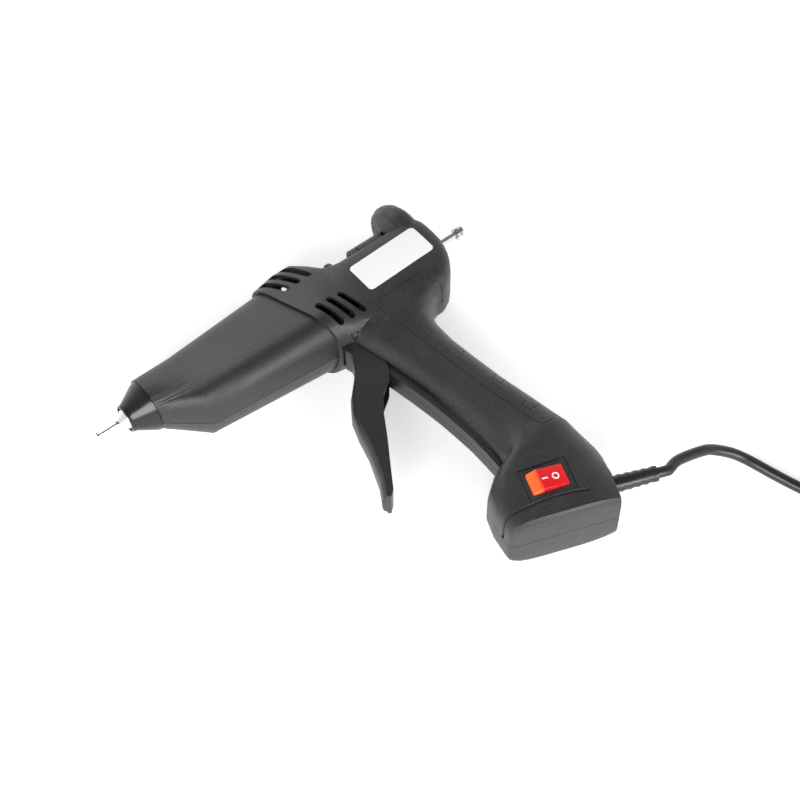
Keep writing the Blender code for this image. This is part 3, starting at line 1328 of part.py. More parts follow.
def clamp_screw(name, side, look):
    """One of the two screws that draw the cord clamp down."""
    spread = side * (CLAMP_LENGTH / 2 - CLAMP_WIDTH / 2)
    head = CORD_RADIUS + CLAMP_THICK + GAP * 2
    made = turned(name, ((-CORD_RADIUS - CLAMP_THICK, 0.0),
                         (-CORD_RADIUS - CLAMP_THICK, CLAMP_SCREW_RADIUS),
                         (head, CLAMP_SCREW_RADIUS), (head, CLAMP_SCREW_RADIUS * 2),
                         (head + CLAMP_SCREW_RADIUS, CLAMP_SCREW_RADIUS * 2),
                         (head + CLAMP_SCREW_RADIUS, 0.0)), steps=SMALL_STEPS)
    made.data.transform(Matrix.Rotation(-math.pi / 2, 4, "Y"))
    made.data.transform(Matrix.Translation((0.0, spread, 0.0)))
    spot = clamp_spot()
    return finish(place(made, REAR_FACE_ANGLE, (spot.x, spot.y)), look)


def clamp_saddle(look):
    """The seat under the cord that the clamp's screws bite into."""
    low = -BASE_HALF + WALL + GAP
    high = CORD_RADIUS
    made = block("clamp_saddle", (-CLAMP_WIDTH / 2, -CLAMP_LENGTH / 2, low),
                 (CLAMP_WIDTH / 2, CLAMP_LENGTH / 2, high))
    spread = CLAMP_LENGTH / 2 - CLAMP_WIDTH / 2
    cuts = [pillar("saddle_hole", (0.0, y), CLAMP_SCREW_RADIUS + GAP,
                   -CORD_RADIUS - CLAMP_THICK - GAP, OVERRUN) for y in (-spread, spread)]
    groove = CORD_RADIUS + GAP
    cuts.append(block("saddle_groove", (-OVERRUN, -groove, -groove), (OVERRUN, groove, OVERRUN)))
    combine(made, "DIFFERENCE", cuts)
    spot = clamp_spot()
    place(made, REAR_FACE_ANGLE, (spot.x, spot.y))
    combine(made, "INTERSECT", [grip_form("room", WALL + GAP)])
    return finish(made, look)


def screw(name, spot, look):
    """A pan-head screw from the right side, with its head at the bottom of its well."""
    head = -SCREW_DEPTH - GAP
    profile = ((head - SCREW_HEAD_THICK, 0.0), (head - SCREW_HEAD_THICK, SCREW_HEAD * 0.75),
               (head - SCREW_HEAD_THICK / 2, SCREW_HEAD), (head, SCREW_HEAD),
               (head, SCREW_RADIUS), (SCREW_REACH - SCREW_RADIUS, SCREW_RADIUS),
               (SCREW_REACH, 0.0))
    made = turned(name, profile, steps=SMALL_STEPS)
    made.data.transform(Matrix.Rotation(-math.pi / 2, 4, "Y"))
    return finish(place(made, 0.0, spot), look)


def coil_radius(turn):
    """The radius of the coil's middle line after so many turns: in and out at a steady rate."""
    run = COIL_TURNS / COIL_LAYERS
    phase = turn % (run * 2)
    inward = phase if phase < run else run * 2 - phase
    return COIL_RADIUS + COIL_PITCH * (run / 2 - inward)


def coil_height(turn):
    """The height of the coil's middle line: a layer up in the half turn at each reversal."""
    run = COIL_TURNS / COIL_LAYERS
    height = COIL_CENTRE[2]
    for i in range(1, COIL_LAYERS):
        share = min(1.0, max(0.0, (turn - run * i) * 2 + 0.5))
        height += COIL_RISE * share * share * (3 - 2 * share)
    return height


def coil_point(turn):
    """A place on the coil after so many turns."""
    angle = COIL_START + math.tau * turn
    radius = coil_radius(turn)
    return Vector((COIL_CENTRE[0] + radius * math.cos(angle),
                   COIL_CENTRE[1] + radius * math.sin(angle), coil_height(turn)))


def coil_lead():
    """The direction in which the cord comes to the coil and leaves it again."""
    return Vector((-math.sin(COIL_START), math.cos(COIL_START), 0.0))


def coil_start():
    """Where the supply cord ends and the coil begins, a straight stretch before the turns."""
    return coil_point(0.0) - coil_lead() * CORD_RADIUS * 4


def plug_point():
    """Where the plug's neck takes the cord, flat on the table beyond the coil."""
    last = coil_point(COIL_TURNS) + coil_lead() * COIL_LEAD
    last.z = COIL_CENTRE[2] - CORD_RADIUS - TIE_THICK - GAP + PLUG_HEIGHT / 2
    return last


def supply_cord(look):
    """The cord's free stretch, from the strain relief down to the table and on to its coil."""
    start = Vector((*RELIEF_POINT, 0.0)) + relief_axis() * (
        RELIEF_FLANGE_THICK + RELIEF_LENGTH + GAP * 2)
    straight = start + relief_axis() * CORD_RADIUS * 2
    end = coil_start() - coil_lead() * GAP
    before = end - coil_lead() * CORD_RADIUS * 2
    route = [straight] + [Vector(p) for p in CORD_ROUTE] + [before]
    points = [start] + smooth_path(route, 4) + [end]
    return hang(tube("supply_cord", points, CORD_RADIUS, 2), look)


def cord_coil(look):
    """The rest of the cord, coiled up in layers, with its run down to the plug."""
    count = COIL_TURNS * COIL_POINTS
    turns = [coil_point(i / COIL_POINTS) for i in range(count + 1)]
    end = plug_point() - coil_lead() * GAP
    before = end - coil_lead() * CORD_RADIUS * 4
    out = turns[-1] + coil_lead() * CORD_RADIUS * 4
    steps = smooth_drop(out, before, 7)
    points = [coil_start()] + turns + steps + [end]
    print("coil's least gap to itself: %.2f mm" % (coil_gap(points) * 1000))
    return hang(tube("cord_coil", points, CORD_RADIUS, 1), look)


def smooth_drop(first, last, steps):
    """Points from one place to another, with the change in height eased at both ends."""
    points = []
    for i in range(steps + 1):
        t = i / steps
        point = first.lerp(last, t)
        point.z = first.z + (last.z - first.z) * t * t * (3 - 2 * t)
        points.append(point)
    return points


def coil_gap(points):
    """The least gap between stretches of a tube that aren't neighbours."""
    least = COIL_RADIUS
    skip = COIL_POINTS // 2
    for i, a in enumerate(points):
        for b in points[i + skip:]:
            least = min(least, (a - b).length - CORD_RADIUS * 2)
    return least


def cord_tie(look):
    """The band that holds the coil's turns together."""
    run = COIL_TURNS / COIL_LAYERS
    inner = COIL_RADIUS - COIL_PITCH * run / 2 - CORD_RADIUS - GAP
    outer = COIL_RADIUS + COIL_PITCH * run / 2 + CORD_RADIUS + GAP
    low = COIL_CENTRE[2] - CORD_RADIUS - GAP
    high = COIL_CENTRE[2] + COIL_RISE * (COIL_LAYERS - 1) + CORD_RADIUS + GAP
    half = TIE_WIDTH / 2
    made = block("cord_tie", (inner - TIE_THICK, -half, low - TIE_THICK),
                 (outer + TIE_THICK, half, high + TIE_THICK))
    room = block("room", (inner, -OVERRUN, low), (outer, OVERRUN, high))
    combine(made, "DIFFERENCE", [room])
    return finish(place(made, TIE_ANGLE, COIL_CENTRE[:2]), look)


def plug(look):
    """The moulded flat plug, tapered towards its cord."""
    length = PLUG_LENGTH + PLUG_NECK_LENGTH
    seat = PLUG_NECK_LENGTH * 0.8
    rings = []
    for share, wide, high in ((0.0, PLUG_NECK, PLUG_NECK), (0.20, PLUG_NECK * 1.2, PLUG_NECK * 1.1),
                              (0.34, PLUG_WIDTH * 0.36, PLUG_HEIGHT * 0.44),
                              (0.50, PLUG_WIDTH * 0.41, PLUG_HEIGHT / 2),
                              (0.97, PLUG_WIDTH / 2, PLUG_HEIGHT / 2),
                              (1.0, PLUG_WIDTH * 0.48, PLUG_HEIGHT * 0.46)):
        ring = squircle(0.0, wide, high, 0.0, 3.0, 3.0, 20)
        rings.append([(length * share, x, z) for x, y, z in ring])
    made = loft("plug", rings)
    cuts = [turned("neck", ((-OVERRUN, 0.0), (-OVERRUN, CORD_RADIUS + GAP),
                            (seat, CORD_RADIUS + GAP), (seat, 0.0)), steps=SMALL_STEPS)]
    for side in (-1, 1):
        cuts.append(turned("pin_hole", ((length - PLUG_PIN_SEAT, 0.0),
                                        (length - PLUG_PIN_SEAT, PLUG_PIN_RADIUS + GAP),
                                        (length + OVERRUN, PLUG_PIN_RADIUS + GAP),
                                        (length + OVERRUN, 0.0)), 0.0, SMALL_STEPS))
        cuts[-1].data.transform(Matrix.Translation((0.0, side * PLUG_PIN_SPACE / 2, 0.0)))
    combine(made, "DIFFERENCE", cuts)
    return finish(lay_plug(made, seat), look)


def lay_plug(made, seat=0.0):
    """Carry a plug's piece to its place beyond the coil."""
    lead = coil_lead()
    spot = plug_point() - lead * seat
    return place(made, math.atan2(lead.y, lead.x), (spot.x, spot.y), spot.z)


def plug_pin(name, side, look):
    """One round pin of the plug."""
    start = PLUG_LENGTH + PLUG_NECK_LENGTH - PLUG_PIN_SEAT + GAP
    end = PLUG_LENGTH + PLUG_NECK_LENGTH + PLUG_PIN_LENGTH
    tip = PLUG_PIN_RADIUS / 2
    made = turned(name, ((start, 0.0), (start, PLUG_PIN_RADIUS), (end - tip, PLUG_PIN_RADIUS),
                         (end, tip), (end, 0.0)), steps=SMALL_STEPS)
    made.data.transform(Matrix.Translation((0.0, side * PLUG_PIN_SPACE / 2, 0.0)))
    return finish(lay_plug(made, PLUG_NECK_LENGTH * 0.8), look)


def stand(made):
    """Hang every piece on the empty named gun, and set the gun, less its cord, on the table."""
    gun = bpy.data.objects.new("gun", None)
    bpy.context.collection.objects.link(gun)
    bpy.context.view_layer.update()
    corners = []
    for piece in made:
        piece.parent = gun
        if piece.name not in CORD_PIECES:
            corners += [piece.matrix_world @ Vector(corner) for corner in piece.bound_box]
    low = [min(corner[i] for corner in corners) for i in range(3)]
    high = [max(corner[i] for corner in corners) for i in range(3)]
    gun.location = (-(low[0] + high[0]) / 2, -(low[1] + high[1]) / 2, -low[2])
    print("gun stands at %.6f %.6f %.6f" % tuple(gun.location))


def build():
    """Make every piece and stand the gun on the table."""
    clear_scene()
    black = material("moulded_black", (0.030, 0.030, 0.032), 0.52)
    rubber = material("boot_rubber", (0.012, 0.012, 0.013), 0.30)
    pvc = material("cord_pvc", (0.014, 0.014, 0.015), 0.28)
    steel = material("bright_steel", (0.72, 0.71, 0.69), 0.22, 1.0)
    zinc = material("zinc_steel", (0.55, 0.55, 0.54), 0.38, 1.0)
    cast = material("cast_aluminium", (0.60, 0.60, 0.61), 0.45, 1.0)
    brass = material("brass", (0.78, 0.57, 0.26), 0.30, 1.0)
    silicone = material("inlet_silicone", (0.62, 0.60, 0.56), 0.60)
    ceramic = material("insulator_board", (0.70, 0.66, 0.58), 0.85)
    red = material("rocker_red", (0.75, 0.02, 0.01), 0.18)
    nylon = material("white_nylon", (0.80, 0.80, 0.76), 0.50)

    form = housing_form()
    housing_half("left_housing", 1, form, black)
    housing_half("right_housing", -1, form, black)
    bpy.data.objects.remove(form, do_unlink=True)
    barrel_half("left_barrel_cover", 1, black)
    barrel_half("right_barrel_cover", -1, black)
    nozzle_boot(rubber)
    nozzle(steel)
    nozzle_tube(steel)
    heater_block(cast)
    heating_element(zinc)
    insulator("front_insulator", FRONT_INSULATOR_X, ceramic)
    insulator("rear_insulator", REAR_INSULATOR_X, ceramic)
    thermal_fuse(ceramic)
    inlet_sleeve(silicone)
    trigger(black)
    trigger_pin(steel)
    link_pin(steel)
    trigger_spring(zinc)
    feed_carriage(zinc)
    stick_gripper(steel)
    gripper_pin(steel)
    stroke_rod(steel)
    stroke_nut(steel)
    rod_cap(steel)
    rod_bush(nylon)
    switch_body(black)
    switch_rocker(red)
    terminal_block(nylon)
    strain_relief(pvc)
    cord_tail(pvc)
    cord_clamp(nylon)
    clamp_saddle(nylon)
    clamp_screw("upper_clamp_screw", 1, zinc)
    clamp_screw("lower_clamp_screw", -1, zinc)
    for name, spot in SCREW_PLACES.items():
        screw(name, spot, zinc)
    supply_cord(pvc)
    cord_coil(pvc)
    cord_tie(rubber)
    plug(pvc)
    plug_pin("left_plug_pin", 1, steel)
    plug_pin("right_plug_pin", -1, steel)
    stand([made for made in bpy.data.objects if made.type in ("MESH", "CURVE")])


build()
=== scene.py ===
"""A hot glue gun that lies on its right side: its finishes and fine detail over the CAD frame."""

import math

import bpy
from mathutils import Matrix, Vector
from mathutils.bvhtree import BVHTree


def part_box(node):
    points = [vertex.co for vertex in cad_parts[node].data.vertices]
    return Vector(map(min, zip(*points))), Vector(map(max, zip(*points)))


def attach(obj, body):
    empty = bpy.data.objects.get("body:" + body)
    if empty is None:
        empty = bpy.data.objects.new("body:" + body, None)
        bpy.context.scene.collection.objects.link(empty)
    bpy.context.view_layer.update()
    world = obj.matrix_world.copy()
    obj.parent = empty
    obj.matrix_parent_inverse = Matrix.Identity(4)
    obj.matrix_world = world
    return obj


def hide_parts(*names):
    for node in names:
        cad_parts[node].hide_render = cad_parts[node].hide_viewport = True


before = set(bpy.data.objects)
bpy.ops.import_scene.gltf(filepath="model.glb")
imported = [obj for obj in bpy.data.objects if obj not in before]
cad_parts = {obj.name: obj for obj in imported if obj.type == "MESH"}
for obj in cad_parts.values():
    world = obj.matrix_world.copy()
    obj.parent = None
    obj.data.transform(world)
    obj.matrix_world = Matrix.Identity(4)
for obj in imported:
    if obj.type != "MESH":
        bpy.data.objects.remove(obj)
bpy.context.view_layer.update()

# The camera stands about a metre off, beyond the gun's nose and well above the table.
# The gun's own frame starts at the boot's small end, with +X to the rear, +Y to the gun's top
# and +Z to its left side. It is found from the trigger's pin.
PIN_X = 0.1170
PIN_Y = -0.0350
EYE = (-0.2271, -0.5203, 0.8998)
BACKWARDS = (-0.3233, -0.4199, 0.8480)
LENS = 94.95
SENSOR = 36.0

pin_low, pin_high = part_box("trigger_pin")
gun = (Vector(pin_low) + Vector(pin_high)) / 2 - Vector((PIN_X, PIN_Y, 0.0))


def at(x, y, z=0.0):
    """A place in the gun's own frame, carried to the table's."""
    return gun + Vector((x, y, z))


camera_data = bpy.data.cameras.new("camera")
camera_data.lens = LENS
camera_data.sensor_width = SENSOR
camera = bpy.data.objects.new("camera", camera_data)
bpy.context.collection.objects.link(camera)
camera.location = at(*EYE)
camera.rotation_euler = Vector(BACKWARDS).to_track_quat("Z", "Y").to_euler()
bpy.context.scene.camera = camera

# The cord is round black PVC that leaves the base through a moulded sleeve, drops to the table,
# runs out of the picture and ends in a tied coil with a flat plug. It is one length throughout.
CORD_RADIUS = 0.0029
CORD_START = 0.0230
BASE_REAR = (0.1660, -0.1762)
BASE_REAR_ANGLE = math.radians(-21.2)
SLEEVE_END = 0.0261
CORD_ROUTE = (
    (0.2045, -0.1856, -0.0022), (0.2187, -0.1873, -0.0058), (0.2257, -0.1892, -0.0090),
    (0.2338, -0.1948, -0.0132), (0.2395, -0.2018, -0.0168), (0.2458, -0.2150, -0.0198),
    (0.2515, -0.2290, -0.0206), (0.2586, -0.2446, -0.0206),
)
ROUTE_STEPS = 8
COIL_CENTRE = (0.3068, -0.2505, -0.0199)
COIL_RADIUS = 0.0340
COIL_TURNS = 8
COIL_LAYERS = 4
COIL_PITCH = 0.0064
COIL_RISE = 0.0063
COIL_START = math.radians(206.8)
COIL_POINTS = 48
COIL_LEAD = 0.0560
DROP_STEPS = 14
PLUG_HEIGHT = 0.0137
TIE_THICK = 0.0006
GAP = 0.0003
CORD_BLACK = (0.010, 0.010, 0.011, 1.0)
CORD_WORN = (0.020, 0.020, 0.021, 1.0)
CORD_SMEARS = 260.0
CORD_GRAIN = 700.0
CORD_GRAIN_STRENGTH = 0.12
CORD_GRAIN_HEIGHT = 0.0002
CORD_ROUGH = 0.22
CORD_ROUGH_SPREAD = 0.14
CORD_SIDES = 6
LEAD_RADII = 4
KINK_RADII = 2


class Value:
    """A socket in a finish that takes plain arithmetic."""

    def __init__(self, finish, socket):
        self.finish = finish
        self.socket = socket

    def joined(self, operation, first, second):
        return self.finish.node("ShaderNodeMath", {"operation": operation}, first, second)

    def __add__(self, other):
        return self.joined("ADD", self, other)

    __radd__ = __add__

    def __mul__(self, other):
        return self.joined("MULTIPLY", self, other)

    __rmul__ = __mul__


class Finish:
    """One surface finish: a Principled material and the nodes that vary it."""

    def __init__(self, name):
        self.look = bpy.data.materials.new(name)
        self.look.use_nodes = True
        self.tree = self.look.node_tree
        self.shader = self.tree.nodes["Principled BSDF"]
        self.place = self.node("ShaderNodeTexCoord", {}, out="Object")

    def node(self, kind, settings, *values, out=0, **named):
        """One node: its settings first, then the values or links of its sockets."""
        made = self.tree.nodes.new(kind)
        for key, value in settings.items():
            if key == "stops":
                for stop, (spot, colour) in zip(made.color_ramp.elements, value):
                    stop.position = spot
                    stop.color = colour
            else:
                setattr(made, key, value)
        for key, value in list(enumerate(values)) + list(named.items()):
            self.feed(made.inputs[key], value)
        return Value(self, made.outputs[out])

    def feed(self, socket, value):
        """A link or a constant for a socket."""
        if isinstance(value, Value):
            self.tree.links.new(value.socket, socket)
        else:
            socket.default_value = value

    def set(self, name, value):
        """What one of the shader's own sockets reads."""
        self.feed(self.shader.inputs[name], value)

    def noise(self, scale, detail=2.0):
        """Cloudy grain of a given count to the metre."""
        return self.node("ShaderNodeTexNoise", {}, Vector=self.place, Scale=scale, Detail=detail)

    def mix(self, share, low, high):
        """A colour between two colours."""
        made = self.tree.nodes.new("ShaderNodeMix")
        made.data_type = "RGBA"
        for socket, value in zip((made.inputs[0], made.inputs[6], made.inputs[7]),
                                 (share, low, high)):
            self.feed(socket, value)
        return Value(self, made.outputs[2])

    def ramp(self, share, low, high):
        """How far a value lies between two bounds, from nothing to one."""
        return self.node("ShaderNodeMapRange", {}, share, low, high)

    def bump(self, height, strength, distance):
        """The shader's normal, raised by a height."""
        self.set("Normal", self.node("ShaderNodeBump", {}, Strength=strength, Distance=distance,
                                     Height=height))


def through(points, steps):
    """Points on a curve through all the given points, steps to each stretch."""
    rows = [Vector(point) for point in points]
    rows = [rows[0] * 2 - rows[1]] + rows + [rows[-1] * 2 - rows[-2]]
    path = []
    for a, b, c, d in zip(rows, rows[1:], rows[2:], rows[3:]):
        for i in range(steps):
            t = i / steps
            path.append(0.5 * (2 * b + (c - a) * t + (2 * a - 5 * b + 4 * c - d) * t ** 2
                               + (3 * b - a - 3 * c + d) * t ** 3))
    path.append(rows[-2])
    return path


def eased(share):
    """A share that starts and ends slowly."""
    return share * share * (3 - 2 * share)


def coil_place(turn):
    """A place on the coil after so many turns, in and out and a layer up at each reversal."""
    run = COIL_TURNS / COIL_LAYERS
    phase = turn % (run * 2)
    inward = phase if phase < run else run * 2 - phase
    radius = COIL_RADIUS + COIL_PITCH * (run / 2 - inward)
    height = COIL_CENTRE[2]
    for i in range(1, COIL_LAYERS):
        height += COIL_RISE * eased(min(1.0, max(0.0, (turn - run * i) * 2 + 0.5)))
    angle = COIL_START + math.tau * turn
    return Vector((COIL_CENTRE[0] + radius * math.cos(angle),
                   COIL_CENTRE[1] + radius * math.sin(angle), height))


def line_curve(name, points, radius, resolution, closed=False):
    """A round tube along the points, with closed ends or closed on itself."""
    curve = bpy.data.curves.new(name, "CURVE")
    curve.dimensions = "3D"
    curve.bevel_depth = radius
    curve.bevel_resolution = resolution
    curve.use_fill_caps = True
    line = curve.splines.new("POLY")
    line.points.add(len(points) - 1)
    for knot, point in zip(line.points, points):
        knot.co = (*point, 1.0)
    line.use_cyclic_u = closed
    made = bpy.data.objects.new(name, curve)
    bpy.context.collection.objects.link(made)
    return made


out_way = Vector((math.cos(BASE_REAR_ANGLE), math.sin(BASE_REAR_ANGLE), 0.0))
sleeve_end = Vector((*BASE_REAR, 0.0)) + out_way * SLEEVE_END
coil_way = Vector((-math.sin(COIL_START), math.cos(COIL_START), 0.0))
coil_start = coil_place(0.0) - coil_way * CORD_RADIUS * LEAD_RADII
plug_place = coil_place(COIL_TURNS) + coil_way * COIL_LEAD
plug_place.z = COIL_CENTRE[2] - CORD_RADIUS - TIE_THICK - GAP + PLUG_HEIGHT / 2
cord_line = [Vector((*BASE_REAR, 0.0)) + out_way * CORD_START]
cord_line += through([sleeve_end + out_way * CORD_RADIUS * KINK_RADII] + list(CORD_ROUTE)
                     + [coil_start - coil_way * CORD_RADIUS * KINK_RADII], ROUTE_STEPS)
cord_line.append(coil_start)
cord_line += [coil_place(i / COIL_POINTS) for i in range(COIL_TURNS * COIL_POINTS + 1)]
drop_start = cord_line[-1] + coil_way * CORD_RADIUS * LEAD_RADII
drop_end = plug_place - coil_way * (CORD_RADIUS * LEAD_RADII + GAP)
for i in range(DROP_STEPS + 1):
    share = i / DROP_STEPS
    place = drop_start.lerp(drop_end, share)
    place.z = drop_start.z + (drop_end.z - drop_start.z) * eased(share)
    cord_line.append(place)
cord_line.append(plug_place - coil_way * GAP)
print("cord is %.4f m long" % sum((b - a).length for a, b in zip(cord_line, cord_line[1:])))

pvc = Finish("cord_pvc")
streak = pvc.noise(CORD_SMEARS, 3.0)
pvc.set("Base Color", pvc.mix(streak, CORD_BLACK, CORD_WORN))
pvc.set("Roughness", pvc.ramp(streak, 0.2, 0.8) * CORD_ROUGH_SPREAD + CORD_ROUGH)
pvc.bump(pvc.noise(CORD_GRAIN), CORD_GRAIN_STRENGTH, CORD_GRAIN_HEIGHT)

cord = line_curve("cord", [gun + point for point in cord_line], CORD_RADIUS, CORD_SIDES)
cord.data.materials.append(pvc.look)
cord.data.splines[0].use_smooth = True
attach(cord, "gun")
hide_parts("supply_cord", "cord_coil")
tuple(gun + cord_line[0])

# The table is a plain white sheet that glows a little, as a light table does, under a soft sky
# that is brightest near the horizon, with a softbox beyond the nose, one in front and one behind.
TABLE_SIZE = 12.0
TABLE_WHITE = (0.92, 0.92, 0.92, 1.0)
TABLE_PALE = (0.93, 0.93, 0.93, 1.0)
TABLE_CLOUDS = 3.0
TABLE_ROUGH = 0.9
GLOW_WHITE = (1.0, 1.0, 1.0, 1.0)
TABLE_GLOW = 0.42
SKY_LOW = (1.30, 1.30, 1.30, 1.0)
SKY_HIGH = (0.20, 0.20, 0.205, 1.0)
SKY_STOPS = ((0.15, SKY_LOW), (0.85, SKY_HIGH))
TABLE_MIDDLE = (0.0, 0.0, 0.0)
SOFTBOXES = (
    ("nose_softbox", (-0.9, -0.7, 0.8), 0.7, 13.0),
    ("front_softbox", (0.1, -1.2, 0.45), 0.6, 9.0),
    ("rear_softbox", (0.2, 1.3, 1.0), 0.8, 5.0),
)

bpy.ops.mesh.primitive_plane_add(size=TABLE_SIZE, location=TABLE_MIDDLE)
table = bpy.context.object
table.name = "table"
white = Finish("table_white")
white.set("Base Color", white.mix(white.noise(TABLE_CLOUDS), TABLE_WHITE, TABLE_PALE))
white.set("Roughness", TABLE_ROUGH)
white.set("Emission Color", GLOW_WHITE)
white.set("Emission Strength", TABLE_GLOW)
table.data.materials.append(white.look)

sky = bpy.data.worlds.new("studio")
sky.use_nodes = True
bpy.context.scene.world = sky
sky_nodes = sky.node_tree.nodes
sky_links = sky.node_tree.links
spread = sky_nodes.new("ShaderNodeTexCoord")
height = sky_nodes.new("ShaderNodeSeparateXYZ")
shade = sky_nodes.new("ShaderNodeValToRGB")
for stop, (spot, colour) in zip(shade.color_ramp.elements, SKY_STOPS):
    stop.position = spot
    stop.color = colour
sky_links.new(spread.outputs["Generated"], height.inputs[0])
sky_links.new(height.outputs["Z"], shade.inputs[0])
sky_links.new(shade.outputs[0], sky_nodes["Background"].inputs["Color"])

for name, place, size, power in SOFTBOXES:
    lamp_data = bpy.data.lights.new(name, "AREA")
    lamp_data.shape = "SQUARE"
    lamp_data.size = size
    lamp_data.energy = power
    lamp = bpy.data.objects.new(name, lamp_data)
    bpy.context.collection.objects.link(lamp)
    lamp.location = place
    towards = Vector(place) - Vector(TABLE_MIDDLE)
    lamp.rotation_euler = towards.to_track_quat("Z", "Y").to_euler()
bpy.context.scene.view_settings.view_transform = "Standard"

# The two housing halves and the two barrel covers are moulded glass-filled nylon with a fine
# spark-eroded grain. The left half has an outlined inlay on the grip, short finger marks along
# the back and a wide groove round the base, all cut in the mould. Seven screws hold the halves.
NYLON_DARK = (0.009, 0.009, 0.010, 1.0)
NYLON_LIGHT = (0.040, 0.040, 0.041, 1.0)
NYLON_ROUGH = 0.38
NYLON_GRAIN = 0.80
GRAIN_COUNT = 1500.0
SPARKLE_COUNT = 3200.0
SPARKLE_SHARE = 0.5
CLOUD_COUNT = 45.0
CLOUD_SHARE = 0.3
CLOUD_ROUGH = 0.08
GRAIN_HEIGHT = 0.00012
SMOOTH_ANGLE = math.radians(30.0)
FACET_ANGLE = math.radians(38.0)
JOIN_REACH = 0.000002
INLAY_RADIUS = 0.00036
FINGER_MARK_RADIUS = 0.00025
BASE_GROOVE_RADIUS = 0.00095
GROOVE_SIDES = 1
GROOVE_STEPS = 5
GROOVES = {
    "inlay": (INLAY_RADIUS, (
        (0.1694, -0.0404, -0.0050), (0.1705, -0.0405, 0.0010), (0.1700, -0.0400, 0.0099),
        (0.1701, -0.0372, 0.0155), (0.1710, -0.0327, 0.0177), (0.1702, -0.0296, 0.0184),
        (0.1669, -0.0288, 0.0186), (0.1510, -0.0293, 0.0188), (0.1383, -0.0292, 0.0191),
        (0.1360, -0.0305, 0.0190), (0.1347, -0.0328, 0.0185), (0.1346, -0.0365, 0.0182),
        (0.1372, -0.0472, 0.0176), (0.1399, -0.0602, 0.0170), (0.1423, -0.0734, 0.0169),
        (0.1451, -0.0900, 0.0171), (0.1480, -0.1061, 0.0177), (0.1507, -0.1185, 0.0182),
        (0.1532, -0.1308, 0.0189), (0.1547, -0.1362, 0.0196), (0.1578, -0.1382, 0.0196),
        (0.1625, -0.1372, 0.0180), (0.1665, -0.1352, 0.0150))),
    "mark_a": (FINGER_MARK_RADIUS, (
        (0.1439, -0.0616, 0.0167), (0.1465, -0.0606, 0.0162), (0.1491, -0.0591, 0.0154))),
    "mark_b": (FINGER_MARK_RADIUS, (
        (0.1481, -0.0813, 0.0165), (0.1512, -0.0800, 0.0155), (0.1540, -0.0782, 0.0136))),
    "mark_c": (FINGER_MARK_RADIUS, (
        (0.1524, -0.1015, 0.0169), (0.1555, -0.1002, 0.0155), (0.1583, -0.0984, 0.0131))),
    "mark_d": (FINGER_MARK_RADIUS, (
        (0.1550, -0.1061, 0.0165), (0.1580, -0.1045, 0.0150), (0.1600, -0.1030, 0.0125))),
    "mark_e": (FINGER_MARK_RADIUS, (
        (0.1540, -0.1229, 0.0183), (0.1562, -0.1220, 0.0178), (0.1583, -0.1209, 0.0171))),
    "mark_f": (FINGER_MARK_RADIUS, (
        (0.1564, -0.1269, 0.0183), (0.1600, -0.1268, 0.0170), (0.1638, -0.1260, 0.0145))),
    "base": (BASE_GROOVE_RADIUS, (
        (0.1498, -0.1801, 0.0200), (0.1432, -0.1767, 0.0204), (0.1338, -0.1730, 0.0204),
        (0.1262, -0.1709, 0.0205), (0.1210, -0.1698, 0.0202), (0.1134, -0.1679, 0.0189),
        (0.1099, -0.1672, 0.0168), (0.1077, -0.1676, 0.0132), (0.1069, -0.1678, 0.0041),
        (0.1069, -0.1673, 0.0010))),
}


def only(made):
    """Leave one object alone selected and active."""
    bpy.ops.object.select_all(action="DESELECT")
    made.select_set(True)
    bpy.context.view_layer.objects.active = made


def copy_of(node, name):
    """A CAD node's own mesh as a new piece, with its loose triangles joined up."""
    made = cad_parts[node].copy()
    made.data = made.data.copy()
    made.name = name
    for key in [key for key in made.keys() if key.startswith("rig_")]:
        del made[key]
    bpy.context.collection.objects.link(made)
    made.parent = None
    only(made)
    bpy.ops.object.mode_set(mode="EDIT")
    bpy.ops.mesh.select_all(action="SELECT")
    bpy.ops.mesh.remove_doubles(threshold=JOIN_REACH)
    bpy.ops.object.mode_set(mode="OBJECT")
    bpy.ops.mesh.customdata_custom_splitnormals_clear()
    made.data.materials.clear()
    return made


def settle(made, angle=SMOOTH_ANGLE):
    """Apply a piece's modifiers and shade it smooth up to an angle."""
    only(made)
    for step in list(made.modifiers):
        bpy.ops.object.modifier_apply(modifier=step.name)
    bpy.ops.object.shade_smooth_by_angle(angle=angle)
    return made


def moulded(name, dark, light, rough, grain):
    """Moulded plastic with a fine grain and faint flow clouds."""
    made = Finish(name)
    fine = made.noise(GRAIN_COUNT, 1.0)
    cloud = made.noise(CLOUD_COUNT, 3.0)
    tone = made.ramp(fine, 0.35, 0.75) * (1 - CLOUD_SHARE) + cloud * CLOUD_SHARE
    made.set("Base Color", made.mix(tone, dark, light))
    made.set("Roughness", made.ramp(cloud, 0.3, 0.7) * CLOUD_ROUGH + rough)
    made.bump(fine + made.noise(SPARKLE_COUNT, 1.0) * SPARKLE_SHARE, grain, GRAIN_HEIGHT)
    return made


nylon = moulded("moulded_black", NYLON_DARK, NYLON_LIGHT, NYLON_ROUGH, NYLON_GRAIN)

left = copy_of("left_housing", "left_housing_shell")
tree = BVHTree.FromObject(left, bpy.context.evaluated_depsgraph_get())
for name, (radius, spots) in GROOVES.items():
    path = [tree.find_nearest(gun + point)[0] for point in through(spots, GROOVE_STEPS)]
    cutter = line_curve(name, path, radius, GROOVE_SIDES)
    only(cutter)
    bpy.ops.object.convert(target="MESH")
    cut = left.modifiers.new(name, "BOOLEAN")
    cut.operation = "DIFFERENCE"
    cut.object = cutter
    only(left)
    bpy.ops.object.modifier_apply(modifier=name)
    bpy.data.objects.remove(cutter, do_unlink=True)
settle(left)
left.data.materials.clear()
left.data.materials.append(nylon.look)
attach(left, "gun")
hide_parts("left_housing")


